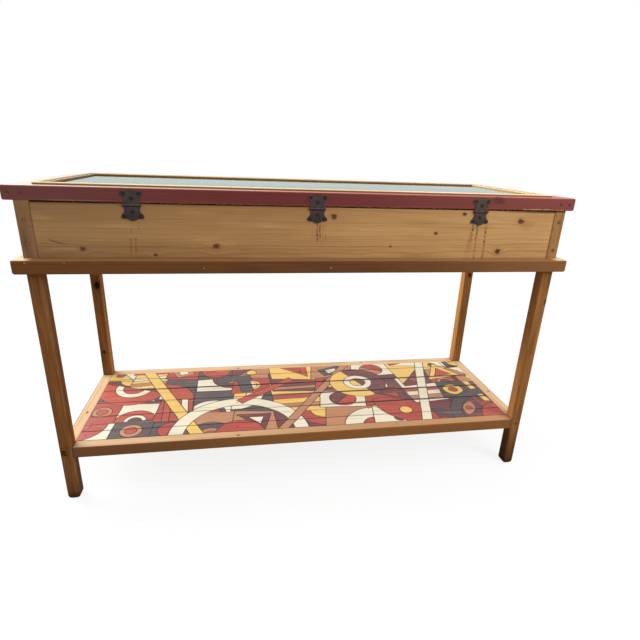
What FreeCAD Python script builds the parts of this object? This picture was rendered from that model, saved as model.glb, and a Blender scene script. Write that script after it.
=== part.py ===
import FreeCAD, Part
import os
import Sketcher
from FreeCAD import Placement, Rotation, Vector

# Display console table, in millimetres.
# The origin is on the floor under the middle of the table, +Z is up, and +Y runs away from the
# hinged side, so the three hinges and the front of the case face -Y.

doc = FreeCAD.newDocument("display_console_table")

# Driving sizes. Each cell is a plain number in millimetres, or a count.
SIZES = [
    # the frame of four corner posts, which run from the floor to the lid
    ("case_length", 1454),
    ("case_depth", 500),
    ("post_side", 35),
    ("post_height", 871),
    ("post_easing", 4.5),
    ("foot_rounding", 11),
    # the belt of rails wrapped round the foot of the case
    ("rail_thick", 22),
    ("rail_height", 36),
    ("belt_drop", 139),
    ("rail_easing", 4),
    ("rail_corner", 6),
    # the case panels between the posts
    ("panel_thick", 22),
    ("panel_recess", 0.6),
    ("panel_easing", 1),
    ("lid_gap", 2.8),
    # the case floor on its cleats
    ("cleat_side", 18),
    ("floor_thick", 9),
    ("floor_clearance", 1),
    # the lid frame
    ("lid_end_overhang", 23),
    ("lid_back_overhang", 15),
    ("lid_thick", 35),
    ("lid_rail_width", 40),
    ("lid_end_width", 76),
    ("lid_easing", 2.5),
    ("lid_corner", 5),
    # the glass and the moulding that holds it down
    ("moulding_end_margin", 62.5),
    ("moulding_side_margin", 23),
    ("moulding_width", 22),
    ("moulding_height", 6),
    ("moulding_round", 2.2),
    ("bead_width", 8),
    ("bead_drop", 1),
    ("quirk_width", 2),
    ("quirk_depth", 1.5),
    ("glass_thick", 4),
    ("glass_cover", 19),
    ("glass_clearance", 1),
    # the hinges
    ("hinge_inset", 266),
    ("hinge_drop", 6.5),
    ("leaf_thick", 1.6),
    ("leaf_reach", 38),
    ("leaf_span", 53),
    ("leaf_waist", 36),
    ("leaf_shoulder", 0.5),
    ("knuckle_length", 41),
    ("barrel_radius", 3),
    ("barrel_clearance", 0.1),
    ("knuckle_gap", 0.3),
    ("leaf_clearance", 0.4),
    ("pin_radius", 1.5),
    ("pin_clearance", 0.05),
    ("pin_head_radius", 2.5),
    ("pin_head_thick", 1),
    ("leaf_screw_out", 18),
    ("leaf_screw_far", 27.5),
    ("leaf_screw_near", 16),
    # the lower shelf
    ("shelf_top", 177),
    ("shelf_height", 34),
    ("shelf_easing", 2.5),
    ("plank_thick", 18),
    ("plank_count", 6),
    ("plank_edge_width", 47),
    ("plank_gap", 1.8),
    ("plank_end_gap", 0.5),
    ("plank_chamfer", 0.8),
    ("bearer_width", 40),
    ("bearer_count", 4),
    # the screws and nails
    ("hole_clearance", 0.15),
    ("hinge_screw_head", 3.2),
    ("hinge_screw_dome", 1),
    ("hinge_screw_shank", 1.6),
    ("hinge_screw_length", 16),
    ("post_screw_head", 4),
    ("post_screw_shank", 2),
    ("post_screw_length", 65),
    ("post_screw_inset", 17),
    ("post_screw_high", 42),
    ("post_screw_low", 106),
    ("left_screws_closer", 4),
    ("right_screws_apart", 9),
    ("side_screw_shift", 14),
    ("shelf_screw_length", 70),
    ("shelf_screw_drop", 17),
    ("shelf_screw_apart", 9),
    ("nail_head", 2.3),
    ("nail_head_thick", 1),
    ("nail_shank", 1.3),
    ("rail_nail_length", 40),
    ("rail_nail_end", 33),
    ("rail_nail_second", 122),
    ("rail_nail_pitch", 320),
    ("rail_nail_drop", 21),
    ("rail_nail_raised", 7),
    ("side_nail_drop", 11),
    ("lid_nail_length", 75),
    ("lid_nail_end", 18),
    ("lid_nail_second", 44),
    ("plank_nail_length", 30),
]

# Sizes that follow from the driving ones.
FOLLOWING = [
    ("rail_top", "=post_height - belt_drop"),
    ("lid_length", "=case_length + 2 * lid_end_overhang"),
    ("lid_depth", "=case_depth + lid_back_overhang"),
    ("hinge_offset", "=case_length / 2 - hinge_inset"),
    ("plank_pitch", "=(case_depth - 2 * post_side - 2 * plank_edge_width) / (plank_count - 2)"),
]

sheet = doc.addObject("Spreadsheet::Sheet", "Sizes")
for row, (alias, content) in enumerate(SIZES + FOLLOWING, start=1):
    sheet.set(f"A{row}", alias)
    sheet.set(f"B{row}", str(content))
    sheet.setAlias(f"B{row}", alias)
doc.recompute()


def value(alias):
    """A size on the sheet, as a number."""
    return float(getattr(sheet, alias))


def work_out(expression):
    """The number that an expression on the sheet stands for."""
    answer = sheet.evalExpression(expression)
    return float(getattr(answer, "Value", answer))


# Places that several pieces share, written as expressions on the sheet.
POST_X = "(Sizes.case_length / 2 - Sizes.post_side)"
POST_Y = "(Sizes.case_depth / 2 - Sizes.post_side)"
PANEL_FACE = "(Sizes.panel_recess + Sizes.panel_thick)"
RAIL_BOTTOM = "(Sizes.rail_top - Sizes.rail_height)"
LID_FRONT = "(-Sizes.case_depth / 2)"
LID_TOP = "(Sizes.post_height + Sizes.lid_thick)"
PIN_HEIGHT = "(Sizes.post_height - Sizes.hinge_drop)"

FACING = {
    "front": Rotation(Vector(1, 0, 0), 90),
    "back": Rotation(Vector(1, 0, 0), -90),
    "right": Rotation(Vector(0, 1, 0), 90),
    "left": Rotation(Vector(0, 1, 0), -90),
    "up": Rotation(),
}

nodes = []


def origin_plane(body, role):
    """One of a body's own origin planes."""
    return next(item for item in body.Origin.OriginFeatures if item.Role == role)


def attached_sketch(body, name, role):
    """A sketch on one of the body's own origin planes."""
    drawing = body.newObject("Sketcher::SketchObject", name)
    drawing.AttachmentSupport = (origin_plane(body, role), [""])
    drawing.MapMode = "FlatFace"
    return drawing


def bind_place(item, x, y, z):
    """Bind a piece's place to the sheet."""
    item.setExpression("Placement.Base.x", x)
    item.setExpression("Placement.Base.y", y)
    item.setExpression("Placement.Base.z", z)


def draw_rectangle(drawing, length, width):
    """A rectangle from the sketch's origin, with its length and width bound to the sheet."""
    far_x = work_out(length)
    far_y = work_out(width)
    corners = [Vector(0, 0), Vector(far_x, 0), Vector(far_x, far_y), Vector(0, far_y)]
    for index in range(4):
        drawing.addGeometry(Part.LineSegment(corners[index], corners[(index + 1) % 4]))
    for index in range(4):
        drawing.addConstraint(Sketcher.Constraint("Coincident", index, 2, (index + 1) % 4, 1))
    for index, kind in enumerate(("Horizontal", "Vertical", "Horizontal", "Vertical")):
        drawing.addConstraint(Sketcher.Constraint(kind, index))
    drawing.addConstraint(Sketcher.Constraint("Coincident", 0, 1, -1, 1))
    for title, kind, line, reach, bound in (
        ("along", "DistanceX", 0, far_x, length),
        ("across", "DistanceY", 1, far_y, width),
    ):
        place = drawing.addConstraint(Sketcher.Constraint(kind, line, 1, line, 2, reach))
        drawing.renameConstraint(place, title)
        drawing.setExpression(f"Constraints.{title}", bound)


def edges_where(shape, wanted):
    """The names of the edges that a test picks."""
    return [f"Edge{index}" for index, edge in enumerate(shape.Edges, start=1) if wanted(edge)]


def runs_along(edge, axis):
    """Whether a straight edge runs along an axis of its body."""
    first, last = edge.Vertexes[0].Point, edge.Vertexes[-1].Point
    across = [abs(getattr(last - first, other)) for other in "xyz" if other != axis]
    return edge.Curve.TypeId == "Part::GeomLine" and max(across) < 1e-6


def ease(body, base, title, wanted, radius):
    """Round the edges that a test picks."""
    rounding = body.newObject("PartDesign::Fillet", title)
    rounding.Base = (base, edges_where(base.Shape, wanted))
    rounding.setExpression("Radius", radius)
    doc.recompute()
    return rounding


def ease_outline(body, name, outer, corner, easing):
    """Round the end corners of a long rail, and then the whole outline of its outer face."""
    length = body.Shape.BoundBox.XLength
    rounded = ease(
        body, body.Tip, name + "_corners",
        lambda edge: runs_along(edge, "y") and abs(abs(edge.CenterOfMass.x - length / 2) - length / 2) < 1e-6,
        corner,
    )
    ease(
        body, rounded, name + "_easing",
        lambda edge: all(abs(vertex.Point.y - outer) < 1e-6 for vertex in edge.Vertexes), easing,
    )


def timber(name, length, width, height, x, y, z, easing=None, grain="x"):
    """A squared board from its lowest corner, with the four edges along its grain eased."""
    body = doc.addObject("PartDesign::Body", name)
    body.Label = name
    plan = attached_sketch(body, name + "_plan", "XY_Plane")
    draw_rectangle(plan, length, width)
    pad = body.newObject("PartDesign::Pad", name + "_pad")
    pad.Profile = plan
    pad.setExpression("Length", height)
    bind_place(body, x, y, z)
    doc.recompute()
    if easing:
        ease(body, pad, name + "_easing", lambda edge: runs_along(edge, grain), easing)
    return body


def group(name, shapes):
    """Separate solids that share one node."""
    item = doc.addObject("Part::Feature", name)
    item.Label = name
    item.Shape = Part.makeCompound(shapes)
    return item


# Screws and nails. Each is modelled once, head up at its own origin, with the hole it sits in,
# and then set in its places.


def fused(name, items):
    """Primitives joined into one solid."""
    union = doc.addObject("Part::MultiFuse", name)
    union.Shapes = items
    return union


def cylinder(name, radius, height, bottom):
    """An upright cylinder with its sizes bound to the sheet."""
    item = doc.addObject("Part::Cylinder", name)
    item.setExpression("Radius", radius)
    item.setExpression("Height", height)
    item.setExpression("Placement.Base.z", bottom)
    return item


def countersunk_screw(name, length, room):
    """A countersunk wood screw with its head's top at the origin, or its hole with some room."""
    head = doc.addObject("Part::Cone", name + "_head")
    head.setExpression("Radius1", f"Sizes.post_screw_shank + {room}")
    head.setExpression("Radius2", f"Sizes.post_screw_head + {room}")
    head.setExpression("Height", "Sizes.post_screw_head - Sizes.post_screw_shank")
    head.setExpression("Placement.Base.z", "Sizes.post_screw_shank - Sizes.post_screw_head")
    shank = cylinder(
        name + "_shank", f"Sizes.post_screw_shank + {room}",
        f"{length} + {room} - (Sizes.post_screw_head - Sizes.post_screw_shank)",
        f"-{length} - {room}",
    )
    return fused(name, [head, shank])


def domed_screw(name, room):
    """A dome-headed hinge screw, with the underside of its head at the origin."""
    dome = doc.addObject("Part::Ellipsoid", name + "_dome")
    dome.setExpression("Radius1", "Sizes.hinge_screw_dome")
    dome.setExpression("Radius2", f"Sizes.hinge_screw_head + {room}")
    dome.setExpression("Radius3", f"Sizes.hinge_screw_head + {room}")
    dome.Angle1 = 0
    shank = cylinder(
        name + "_shank", f"Sizes.hinge_screw_shank + {room}",
        f"Sizes.hinge_screw_length + {room}", f"-Sizes.hinge_screw_length - {room}",
    )
    return fused(name, [dome, shank])


def flat_nail(name, length, room):
    """A wire nail with its head flush at the origin, or its hole with some room."""
    head = cylinder(
        name + "_head", f"Sizes.nail_head + {room}", "Sizes.nail_head_thick",
        "-Sizes.nail_head_thick",
    )
    shank = cylinder(
        name + "_shank", f"Sizes.nail_shank + {room}", f"{length} + {room}", f"-{length} - {room}",
    )
    return fused(name, [head, shank])


TIGHT = "0"
ROOM = "Sizes.hole_clearance"
all_holes = []


def drive(name, fastener, hole, places):
    """Set copies of a fastener in their places, and keep the holes that they need."""
    doc.recompute()
    solids = []
    for facing, point in places:
        place = Placement(Vector(*point), FACING[facing])
        solids.append(fastener.Shape.transformed(place.toMatrix()))
        all_holes.append(hole.Shape.transformed(place.toMatrix()))
    nodes.append(group(name, solids))


def drilled(blank, name):
    """The blank with every screw and nail hole that runs into it."""
    doc.recompute()
    limits = blank.Shape.BoundBox
    holes = [hole for hole in all_holes if hole.BoundBox.intersect(limits)]
    if not holes:
        blank.Label = name
        nodes.append(blank)
        return blank
    tool = group(name + "_holes", holes)
    cut = doc.addObject("Part::Cut", name)
    cut.Label = name
    cut.Base = blank
    cut.Tool = tool
    nodes.append(cut)
    return cut


# Where the screws and nails go.

half_length = value("case_length") / 2
half_depth = value("case_depth") / 2
rail_out = value("rail_thick")
hinge_centres = (-value("hinge_offset"), 0, value("hinge_offset"))
pin_height = work_out(PIN_HEIGHT)
leaf_front = -half_depth - value("leaf_thick")


def post_screw_places():
    """Two screws through each post into each panel that ends on it. They were set by eye: closer
    together on the left posts, further apart on the right ones."""
    inset = value("post_screw_inset")
    places = []
    for end, side, apart in (
        ("left", -1, -value("left_screws_closer")), ("right", 1, value("right_screws_apart")),
    ):
        high = value("post_height") - value("post_screw_high") + apart
        low = value("post_height") - value("post_screw_low") - apart
        for level in (high, low):
            across = side * (half_length - inset)
            places.append(("front", (across, -half_depth, level)))
            places.append(("back", (across, half_depth, level)))
            lower = level - value("side_screw_shift")
            places.append((end, (side * half_length, inset - half_depth, lower)))
            places.append((end, (side * half_length, half_depth - inset, lower)))
    return places


def shelf_screw_places():
    """One screw through each post into the end of each shelf board that butts on it."""
    middle = value("post_side") / 2
    level = value("shelf_top") - value("shelf_screw_drop")
    lower = level - value("shelf_screw_apart")
    places = []
    for side in (-1, 1):
        across = side * (half_length - middle)
        places.append(("front", (across, -half_depth, level)))
        places.append(("back", (across, half_depth, level)))
        depth = side * (half_depth - middle)
        places.append(("left", (-half_length, depth, lower)))
        places.append(("right", (half_length, depth, lower)))
    return places


def rail_nail_places():
    """Nails through the belt rails into the posts and the panels. The front rail has two near its
    top at the left end, and only one at the right."""
    reach = half_length + rail_out
    end, second = value("rail_nail_end"), value("rail_nail_second")
    pitch = value("rail_nail_pitch")
    level = value("rail_top") - value("rail_nail_drop")
    raised = value("rail_top") - value("rail_nail_raised")
    places = []
    for spot, height in (
        (end - reach, raised), (second - reach, raised), (-0.92 * pitch, level),
        (0.12 * pitch, level), (reach - (end + second) / 2, level),
    ):
        places.append(("front", (spot, -half_depth - rail_out, height)))
    for spot in (end - reach, second - reach, -pitch, 0, pitch, reach - second, reach - end):
        places.append(("back", (spot, half_depth + rail_out, level)))
    level = value("rail_top") - value("side_nail_drop")
    for depth in (value("post_side") / 2 - half_depth, 0, half_depth - value("post_side") / 2):
        places.append(("left", (-reach, depth, level)))
        places.append(("right", (reach, depth, level)))
    return places


def lid_nail_places():
    """Nails through the long lid rails into the ends of the lid's end boards."""
    level = value("post_height") + value("lid_thick") / 2
    places = []
    for inset in (value("lid_nail_end"), value("lid_nail_second")):
        for side in (-1, 1):
            across = side * (value("lid_length") / 2 - inset)
            places.append(("front", (across, -half_depth, level)))
            places.append(("back", (across, value("lid_depth") - half_depth, level)))
    return places


def hinge_screw_places(up):
    """Three screws in each leaf: up is 1 for the lid leaves and -1 for the case leaves."""
    places = []
    for centre in hinge_centres:
        for out, far in (
            (-value("leaf_screw_out"), value("leaf_screw_far")),
            (0, value("leaf_screw_near")),
            (value("leaf_screw_out"), value("leaf_screw_far")),
        ):
            places.append(("front", (centre + out, leaf_front, pin_height + up * far)))
    return places


def bearer_centres():
    """The middles of the shelf bearers: one at each end board and the rest evenly between."""
    reach = half_length - value("post_side") - value("bearer_width") / 2
    count = int(value("bearer_count"))
    return [-reach + 2 * reach * index / (count - 1) for index in range(count)]


def plank_bands():
    """Where each shelf plank starts, how wide it is and where its nails go, as expressions. The
    two edge planks are narrow and the rest share what is left between them."""
    gap = "Sizes.plank_gap"
    edge = "Sizes.plank_edge_width"
    edge_width = f"{edge} - {gap} / 2 - Sizes.plank_end_gap"
    bands = [(f"-{POST_Y} + Sizes.plank_end_gap", edge_width, f"-{POST_Y} + {edge} / 2")]
    for index in range(int(value("plank_count")) - 2):
        line = f"-{POST_Y} + {edge} + {index} * Sizes.plank_pitch"
        middle = f"{line} + Sizes.plank_pitch / 2"
        bands.append((f"{line} + {gap} / 2", f"Sizes.plank_pitch - {gap}", middle))
    bands.append((f"{POST_Y} - {edge} + {gap} / 2", edge_width, f"{POST_Y} - {edge} / 2"))
    return bands


def plank_nail_places():
    """One nail through each plank into each bearer."""
    places = []
    for _, _, middle in plank_bands():
        for centre in bearer_centres():
            places.append(("up", (centre, work_out(middle), value("shelf_top"))))
    return places


post_screw = countersunk_screw("post_screw_form", "Sizes.post_screw_length", TIGHT)
post_hole = countersunk_screw("post_hole_form", "Sizes.post_screw_length", ROOM)
drive("post_screws", post_screw, post_hole, post_screw_places())

shelf_screw = countersunk_screw("shelf_screw_form", "Sizes.shelf_screw_length", TIGHT)
shelf_hole = countersunk_screw("shelf_hole_form", "Sizes.shelf_screw_length", ROOM)
drive("shelf_screws", shelf_screw, shelf_hole, shelf_screw_places())

rail_nail = flat_nail("rail_nail_form", "Sizes.rail_nail_length", TIGHT)
rail_hole = flat_nail("rail_hole_form", "Sizes.rail_nail_length", ROOM)
drive("rail_nails", rail_nail, rail_hole, rail_nail_places())

lid_nail = flat_nail("lid_nail_form", "Sizes.lid_nail_length", TIGHT)
lid_hole = flat_nail("lid_hole_form", "Sizes.lid_nail_length", ROOM)
drive("lid_nails", lid_nail, lid_hole, lid_nail_places())

plank_nail = flat_nail("plank_nail_form", "Sizes.plank_nail_length", TIGHT)
plank_hole = flat_nail("plank_hole_form", "Sizes.plank_nail_length", ROOM)
drive("plank_nails", plank_nail, plank_hole, plank_nail_places())

hinge_screw = domed_screw("hinge_screw_form", TIGHT)
hinge_hole = domed_screw("hinge_hole_form", ROOM)
drive("lid_hinge_screws", hinge_screw, hinge_hole, hinge_screw_places(1))
drive("case_hinge_screws", hinge_screw, hinge_hole, hinge_screw_places(-1))


def make_posts():
    """Four square posts. The foot's side edges are rounded large and the rest are eased."""
    for end, x in (("left", "-Sizes.case_length / 2"), ("right", POST_X)):
        for face, y in (("front", "-Sizes.case_depth / 2"), ("back", POST_Y)):
            name = f"{face}_{end}_post"
            body = timber(
                name + "_blank", "Sizes.post_side", "Sizes.post_side", "Sizes.post_height", x, y, "0",
            )
            rounded = ease(
                body, body.Tip, name + "_foot",
                lambda edge: runs_along(edge, "y") and edge.CenterOfMass.z < 1,
                "Sizes.foot_rounding",
            )
            top = value("post_height") - 1
            ease(
                body, rounded, name + "_easing",
                lambda edge: edge.CenterOfMass.z < top and on_side_outline(edge),
                "Sizes.post_easing",
            )
            drilled(body, name)


def on_side_outline(edge):
    """Whether an edge lies in the front or the back face of a post, seen in the post's frame."""
    side = value("post_side")
    depths = [vertex.Point.y for vertex in edge.Vertexes]
    return all(abs(y) < 1e-6 for y in depths) or all(abs(y - side) < 1e-6 for y in depths)


def make_belt():
    """Rails round the outside of the posts. The front and back ones run the full length."""
    long_rail = "Sizes.case_length + 2 * Sizes.rail_thick"
    left = "-Sizes.case_length / 2 - Sizes.rail_thick"
    for face, y in (
        ("front", "-Sizes.case_depth / 2 - Sizes.rail_thick"), ("back", "Sizes.case_depth / 2"),
    ):
        body = timber(
            f"{face}_belt_rail_blank", long_rail, "Sizes.rail_thick", "Sizes.rail_height",
            left, y, RAIL_BOTTOM,
        )
        outer = 0 if face == "front" else value("rail_thick")
        ease_outline(body, f"{face}_belt_rail", outer, "Sizes.rail_corner", "Sizes.rail_easing")
        drilled(body, f"{face}_belt_rail")
    for end, x in (("left", left), ("right", "Sizes.case_length / 2")):
        body = timber(
            f"{end}_belt_rail_blank", "Sizes.rail_thick", "Sizes.case_depth", "Sizes.rail_height",
            x, "-Sizes.case_depth / 2", RAIL_BOTTOM,
        )
        outer = 0 if end == "left" else value("rail_thick")
        ease(
            body, body.Tip, f"{end}_belt_rail_easing",
            lambda edge: runs_along(edge, "y") and abs(edge.CenterOfMass.x - outer) < 1e-6,
            "Sizes.rail_corner",
        )
        drilled(body, f"{end}_belt_rail")


def make_case():
    """Panels between the posts, which start behind the belt, and a floor board on cleats."""
    height = f"Sizes.post_height - Sizes.lid_gap - {RAIL_BOTTOM}"
    between_x = "Sizes.case_length - 2 * Sizes.post_side"
    between_y = "Sizes.case_depth - 2 * Sizes.post_side"
    for face, y in (
        ("front", "-Sizes.case_depth / 2 + Sizes.panel_recess"),
        ("back", f"Sizes.case_depth / 2 - {PANEL_FACE}"),
    ):
        body = timber(
            f"{face}_panel_blank", between_x, "Sizes.panel_thick", height,
            f"-{POST_X}", y, RAIL_BOTTOM, "Sizes.panel_easing",
        )
        drilled(body, f"{face}_panel")
    for end, x in (
        ("left", "-Sizes.case_length / 2 + Sizes.panel_recess"),
        ("right", f"Sizes.case_length / 2 - {PANEL_FACE}"),
    ):
        body = timber(
            f"{end}_panel_blank", "Sizes.panel_thick", between_y, height,
            x, f"-{POST_Y}", RAIL_BOTTOM, "Sizes.panel_easing", "y",
        )
        drilled(body, f"{end}_panel")

    # cleats along the foot of the panels: the long ones run between the posts
    for face, y in (
        ("front", f"-Sizes.case_depth / 2 + {PANEL_FACE}"),
        ("back", f"Sizes.case_depth / 2 - {PANEL_FACE} - Sizes.cleat_side"),
    ):
        cleat = timber(
            f"{face}_cleat_blank", between_x, "Sizes.cleat_side", "Sizes.cleat_side",
            f"-{POST_X}", y, RAIL_BOTTOM,
        )
        drilled(cleat, f"{face}_cleat")
    short = f"Sizes.case_depth - 2 * {PANEL_FACE} - 2 * Sizes.cleat_side"
    for end, x in (
        ("left", f"-Sizes.case_length / 2 + {PANEL_FACE}"),
        ("right", f"Sizes.case_length / 2 - {PANEL_FACE} - Sizes.cleat_side"),
    ):
        cleat = timber(
            f"{end}_cleat_blank", "Sizes.cleat_side", short, "Sizes.cleat_side",
            x, f"-Sizes.case_depth / 2 + {PANEL_FACE} + Sizes.cleat_side", RAIL_BOTTOM,
        )
        drilled(cleat, f"{end}_cleat")

    # the floor board, notched round the posts
    inset = f"({PANEL_FACE} + Sizes.floor_clearance)"
    board = timber(
        "case_floor_board", f"Sizes.case_length - 2 * {inset}", f"Sizes.case_depth - 2 * {inset}",
        "Sizes.floor_thick", f"-Sizes.case_length / 2 + {inset}",
        f"-Sizes.case_depth / 2 + {inset}", f"{RAIL_BOTTOM} + Sizes.cleat_side",
    )
    notches = []
    room = "Sizes.floor_clearance"
    for end, x in (("left", f"-Sizes.case_length / 2 - {room}"), ("right", f"{POST_X} - {room}")):
        for face, y in (
            ("front", f"-Sizes.case_depth / 2 - {room}"), ("back", f"{POST_Y} - {room}"),
        ):
            notch = doc.addObject("Part::Box", f"{face}_{end}_floor_notch")
            notch.setExpression("Length", f"Sizes.post_side + 2 * {room}")
            notch.setExpression("Width", f"Sizes.post_side + 2 * {room}")
            notch.setExpression("Height", "Sizes.post_height")
            bind_place(notch, x, y, "0")
            notches.append(notch)
    cut = doc.addObject("Part::Cut", "case_floor")
    cut.Label = "case_floor"
    cut.Base = board
    cut.Tool = fused("floor_notches", notches)
    nodes.append(cut)


def make_lid_frame():
    """Two long rails with two end boards between them, rebated on top for the glass."""
    seat = doc.addObject("Part::Box", "glass_seat")
    side = "(Sizes.moulding_side_margin + Sizes.moulding_width - Sizes.glass_cover)"
    end = "(Sizes.moulding_end_margin + Sizes.moulding_width - Sizes.glass_cover)"
    room = "Sizes.glass_clearance"
    seat.setExpression("Length", f"Sizes.lid_length - 2 * {end} + 2 * {room}")
    seat.setExpression("Width", f"Sizes.lid_depth - 2 * {side} + 2 * {room}")
    seat.setExpression("Height", "Sizes.glass_thick + Sizes.moulding_height")
    bind_place(
        seat, f"-Sizes.lid_length / 2 + {end} - {room}", f"{LID_FRONT} + {side} - {room}",
        f"{LID_TOP} - Sizes.glass_thick",
    )
    pane = doc.addObject("Part::Box", "lid_glass")
    pane.Label = "lid_glass"
    pane.setExpression("Length", f"Sizes.lid_length - 2 * {end}")
    pane.setExpression("Width", f"Sizes.lid_depth - 2 * {side}")
    pane.setExpression("Height", "Sizes.glass_thick")
    bind_place(
        pane, f"-Sizes.lid_length / 2 + {end}", f"{LID_FRONT} + {side}",
        f"{LID_TOP} - Sizes.glass_thick",
    )
    nodes.append(pane)

    members = []
    for face, y in (
        ("front", LID_FRONT), ("back", f"{LID_FRONT} + Sizes.lid_depth - Sizes.lid_rail_width"),
    ):
        body = timber(
            f"lid_{face}_rail_bar", "Sizes.lid_length", "Sizes.lid_rail_width", "Sizes.lid_thick",
            "-Sizes.lid_length / 2", y, "Sizes.post_height",
        )
        outer = 0 if face == "front" else value("lid_rail_width")
        ease_outline(body, f"lid_{face}_rail", outer, "Sizes.lid_corner", "Sizes.lid_easing")
        members.append((f"lid_{face}_rail", body))
    for end_name, x in (
        ("left", "-Sizes.lid_length / 2"), ("right", "Sizes.lid_length / 2 - Sizes.lid_end_width"),
    ):
        body = timber(
            f"lid_{end_name}_end_bar", "Sizes.lid_end_width",
            "Sizes.lid_depth - 2 * Sizes.lid_rail_width", "Sizes.lid_thick",
            x, f"{LID_FRONT} + Sizes.lid_rail_width", "Sizes.post_height",
        )
        outer = 0 if end_name == "left" else value("lid_end_width")
        ease(
            body, body.Tip, f"lid_{end_name}_end_easing",
            lambda edge: runs_along(edge, "y") and abs(edge.CenterOfMass.x - outer) < 1e-6,
            "Sizes.lid_corner",
        )
        members.append((f"lid_{end_name}_end", body))
    for name, body in members:
        rebated = doc.addObject("Part::Cut", name + "_blank")
        rebated.Base = body
        rebated.Tool = seat
        drilled(rebated, name)


def moulding_outline():
    """The moulding's section: a rounded outer edge, a flat, a narrow quirk and an inner bead."""
    width, height = value("moulding_width"), value("moulding_height")
    radius = value("moulding_round")
    bead, drop = value("bead_width"), value("bead_drop")
    quirk, deep = value("quirk_width"), value("quirk_depth")
    diagonal = radius * (1 - 2 ** -0.5)
    bead_left = width - bead
    bead_top = height - drop
    foot = Vector(width, 0)
    return [
        Part.LineSegment(Vector(0, 0), Vector(0, height - radius)),
        Part.Arc(
            Vector(0, height - radius), Vector(diagonal, height - diagonal),
            Vector(radius, height),
        ),
        Part.LineSegment(Vector(radius, height), Vector(bead_left - quirk, height)),
        Part.LineSegment(
            Vector(bead_left - quirk, height), Vector(bead_left - quirk, height - drop - deep),
        ),
        Part.LineSegment(
            Vector(bead_left - quirk, height - drop - deep), Vector(bead_left, height - drop - deep),
        ),
        Part.Arc(
            Vector(bead_left, height - drop - deep), Vector(bead_left + bead / 2, bead_top),
            Vector(width, height - drop - deep),
        ),
        Part.LineSegment(Vector(width, height - drop - deep), foot),
        Part.LineSegment(foot, Vector(0, 0)),
    ]


def make_moulding():
    """Four mitred strips on top of the lid, over the edge of the glass."""
    doc.recompute()
    long_run = "(Sizes.lid_length - 2 * Sizes.moulding_end_margin)"
    short_run = "(Sizes.lid_depth - 2 * Sizes.moulding_side_margin)"
    front = f"{LID_FRONT} + Sizes.moulding_side_margin"
    back = f"{LID_FRONT} + Sizes.lid_depth - Sizes.moulding_side_margin"
    for name, run, turn, x, y in (
        ("front_moulding", long_run, 0, "0", front),
        ("back_moulding", long_run, 180, "0", back),
        ("right_moulding", short_run, 90, f"{long_run} / 2", f"({front} + {back}) / 2"),
        ("left_moulding", short_run, -90, f"-{long_run} / 2", f"({front} + {back}) / 2"),
    ):
        body = doc.addObject("PartDesign::Body", name)
        body.Label = name
        section = attached_sketch(body, name + "_section", "YZ_Plane")
        section.addGeometry(moulding_outline())
        pad = body.newObject("PartDesign::Pad", name + "_run")
        pad.Profile = section
        pad.Midplane = True
        pad.setExpression("Length", run)
        reach, width = work_out(run) / 2, value("moulding_width")
        mitre = attached_sketch(body, name + "_mitre", "XY_Plane")
        for side in (-1, 1):
            corners = [
                Vector(side * reach, 0), Vector(side * (reach + width), 0),
                Vector(side * (reach + width), 2 * width),
                Vector(side * (reach - 2 * width), 2 * width),
            ]
            for index in range(4):
                mitre.addGeometry(Part.LineSegment(corners[index], corners[(index + 1) % 4]))
        cut = body.newObject("PartDesign::Pocket", name + "_mitres")
        cut.Profile = mitre
        cut.Midplane = True
        cut.Type = "ThroughAll"
        body.Placement = Placement(Vector(), Rotation(Vector(0, 0, 1), turn))
        bind_place(body, x, y, LID_TOP)
        nodes.append(body)


# The butterfly's outline above its waist: where the wing leaves the waist, its widest place, its
# end, the notch and the start of the tip, as shares of half the span and of the reach.
LEAF_PROFILE = [(0.92, 0.6), (1, 0.73), (0.88, 0.865), (0.52, 0.87), (0.3, 0.935)]
WAIST_HEIGHT = 0.3


def leaf_outline(middle):
    """A butterfly leaf, from the pin's line upwards. The middle knuckle's leaf keeps a tongue at
    its middle, and the other leaf is cut away there."""
    reach = value("leaf_reach")
    lobe = value("leaf_span") / 2
    waist = value("leaf_waist") / 2
    knuckle = value("knuckle_length") / 2
    clear = value("barrel_radius") + value("leaf_clearance")
    third = value("knuckle_length") / 6
    shoulder = clear + value("leaf_shoulder")
    flare, bulge, turn, notch, shoulder_tip = (
        (lobe * out, reach * high) for out, high in LEAF_PROFILE
    )
    if middle:
        foot = [(-knuckle, clear), (-third, clear), (-third, 0), (third, 0), (third, clear),
                (knuckle, clear)]
    else:
        inner = third + value("knuckle_gap")
        foot = [(-knuckle, 0), (-inner, 0), (-inner, clear), (inner, clear), (inner, 0),
                (knuckle, 0)]
    right = [
        ((knuckle, shoulder), (waist, reach * WAIST_HEIGHT), flare),
        (flare, bulge, turn),
        (turn, notch, shoulder_tip),
    ]
    lines = list(zip(foot, foot[1:]))
    lines.append(((knuckle, foot[-1][1]), (knuckle, shoulder)))
    lines.append(((-knuckle, shoulder), (-knuckle, foot[0][1])))
    left = [tuple((-x, y) for x, y in reversed(arc)) for arc in reversed(right)]
    tip = [(shoulder_tip, (0, reach), (-shoulder_tip[0], shoulder_tip[1]))]
    outline = [Part.LineSegment(Vector(*first), Vector(*last)) for first, last in lines]
    for first, through, last in right + tip + left:
        outline.append(Part.Arc(Vector(*first), Vector(*through), Vector(*last)))
    return outline


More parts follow.
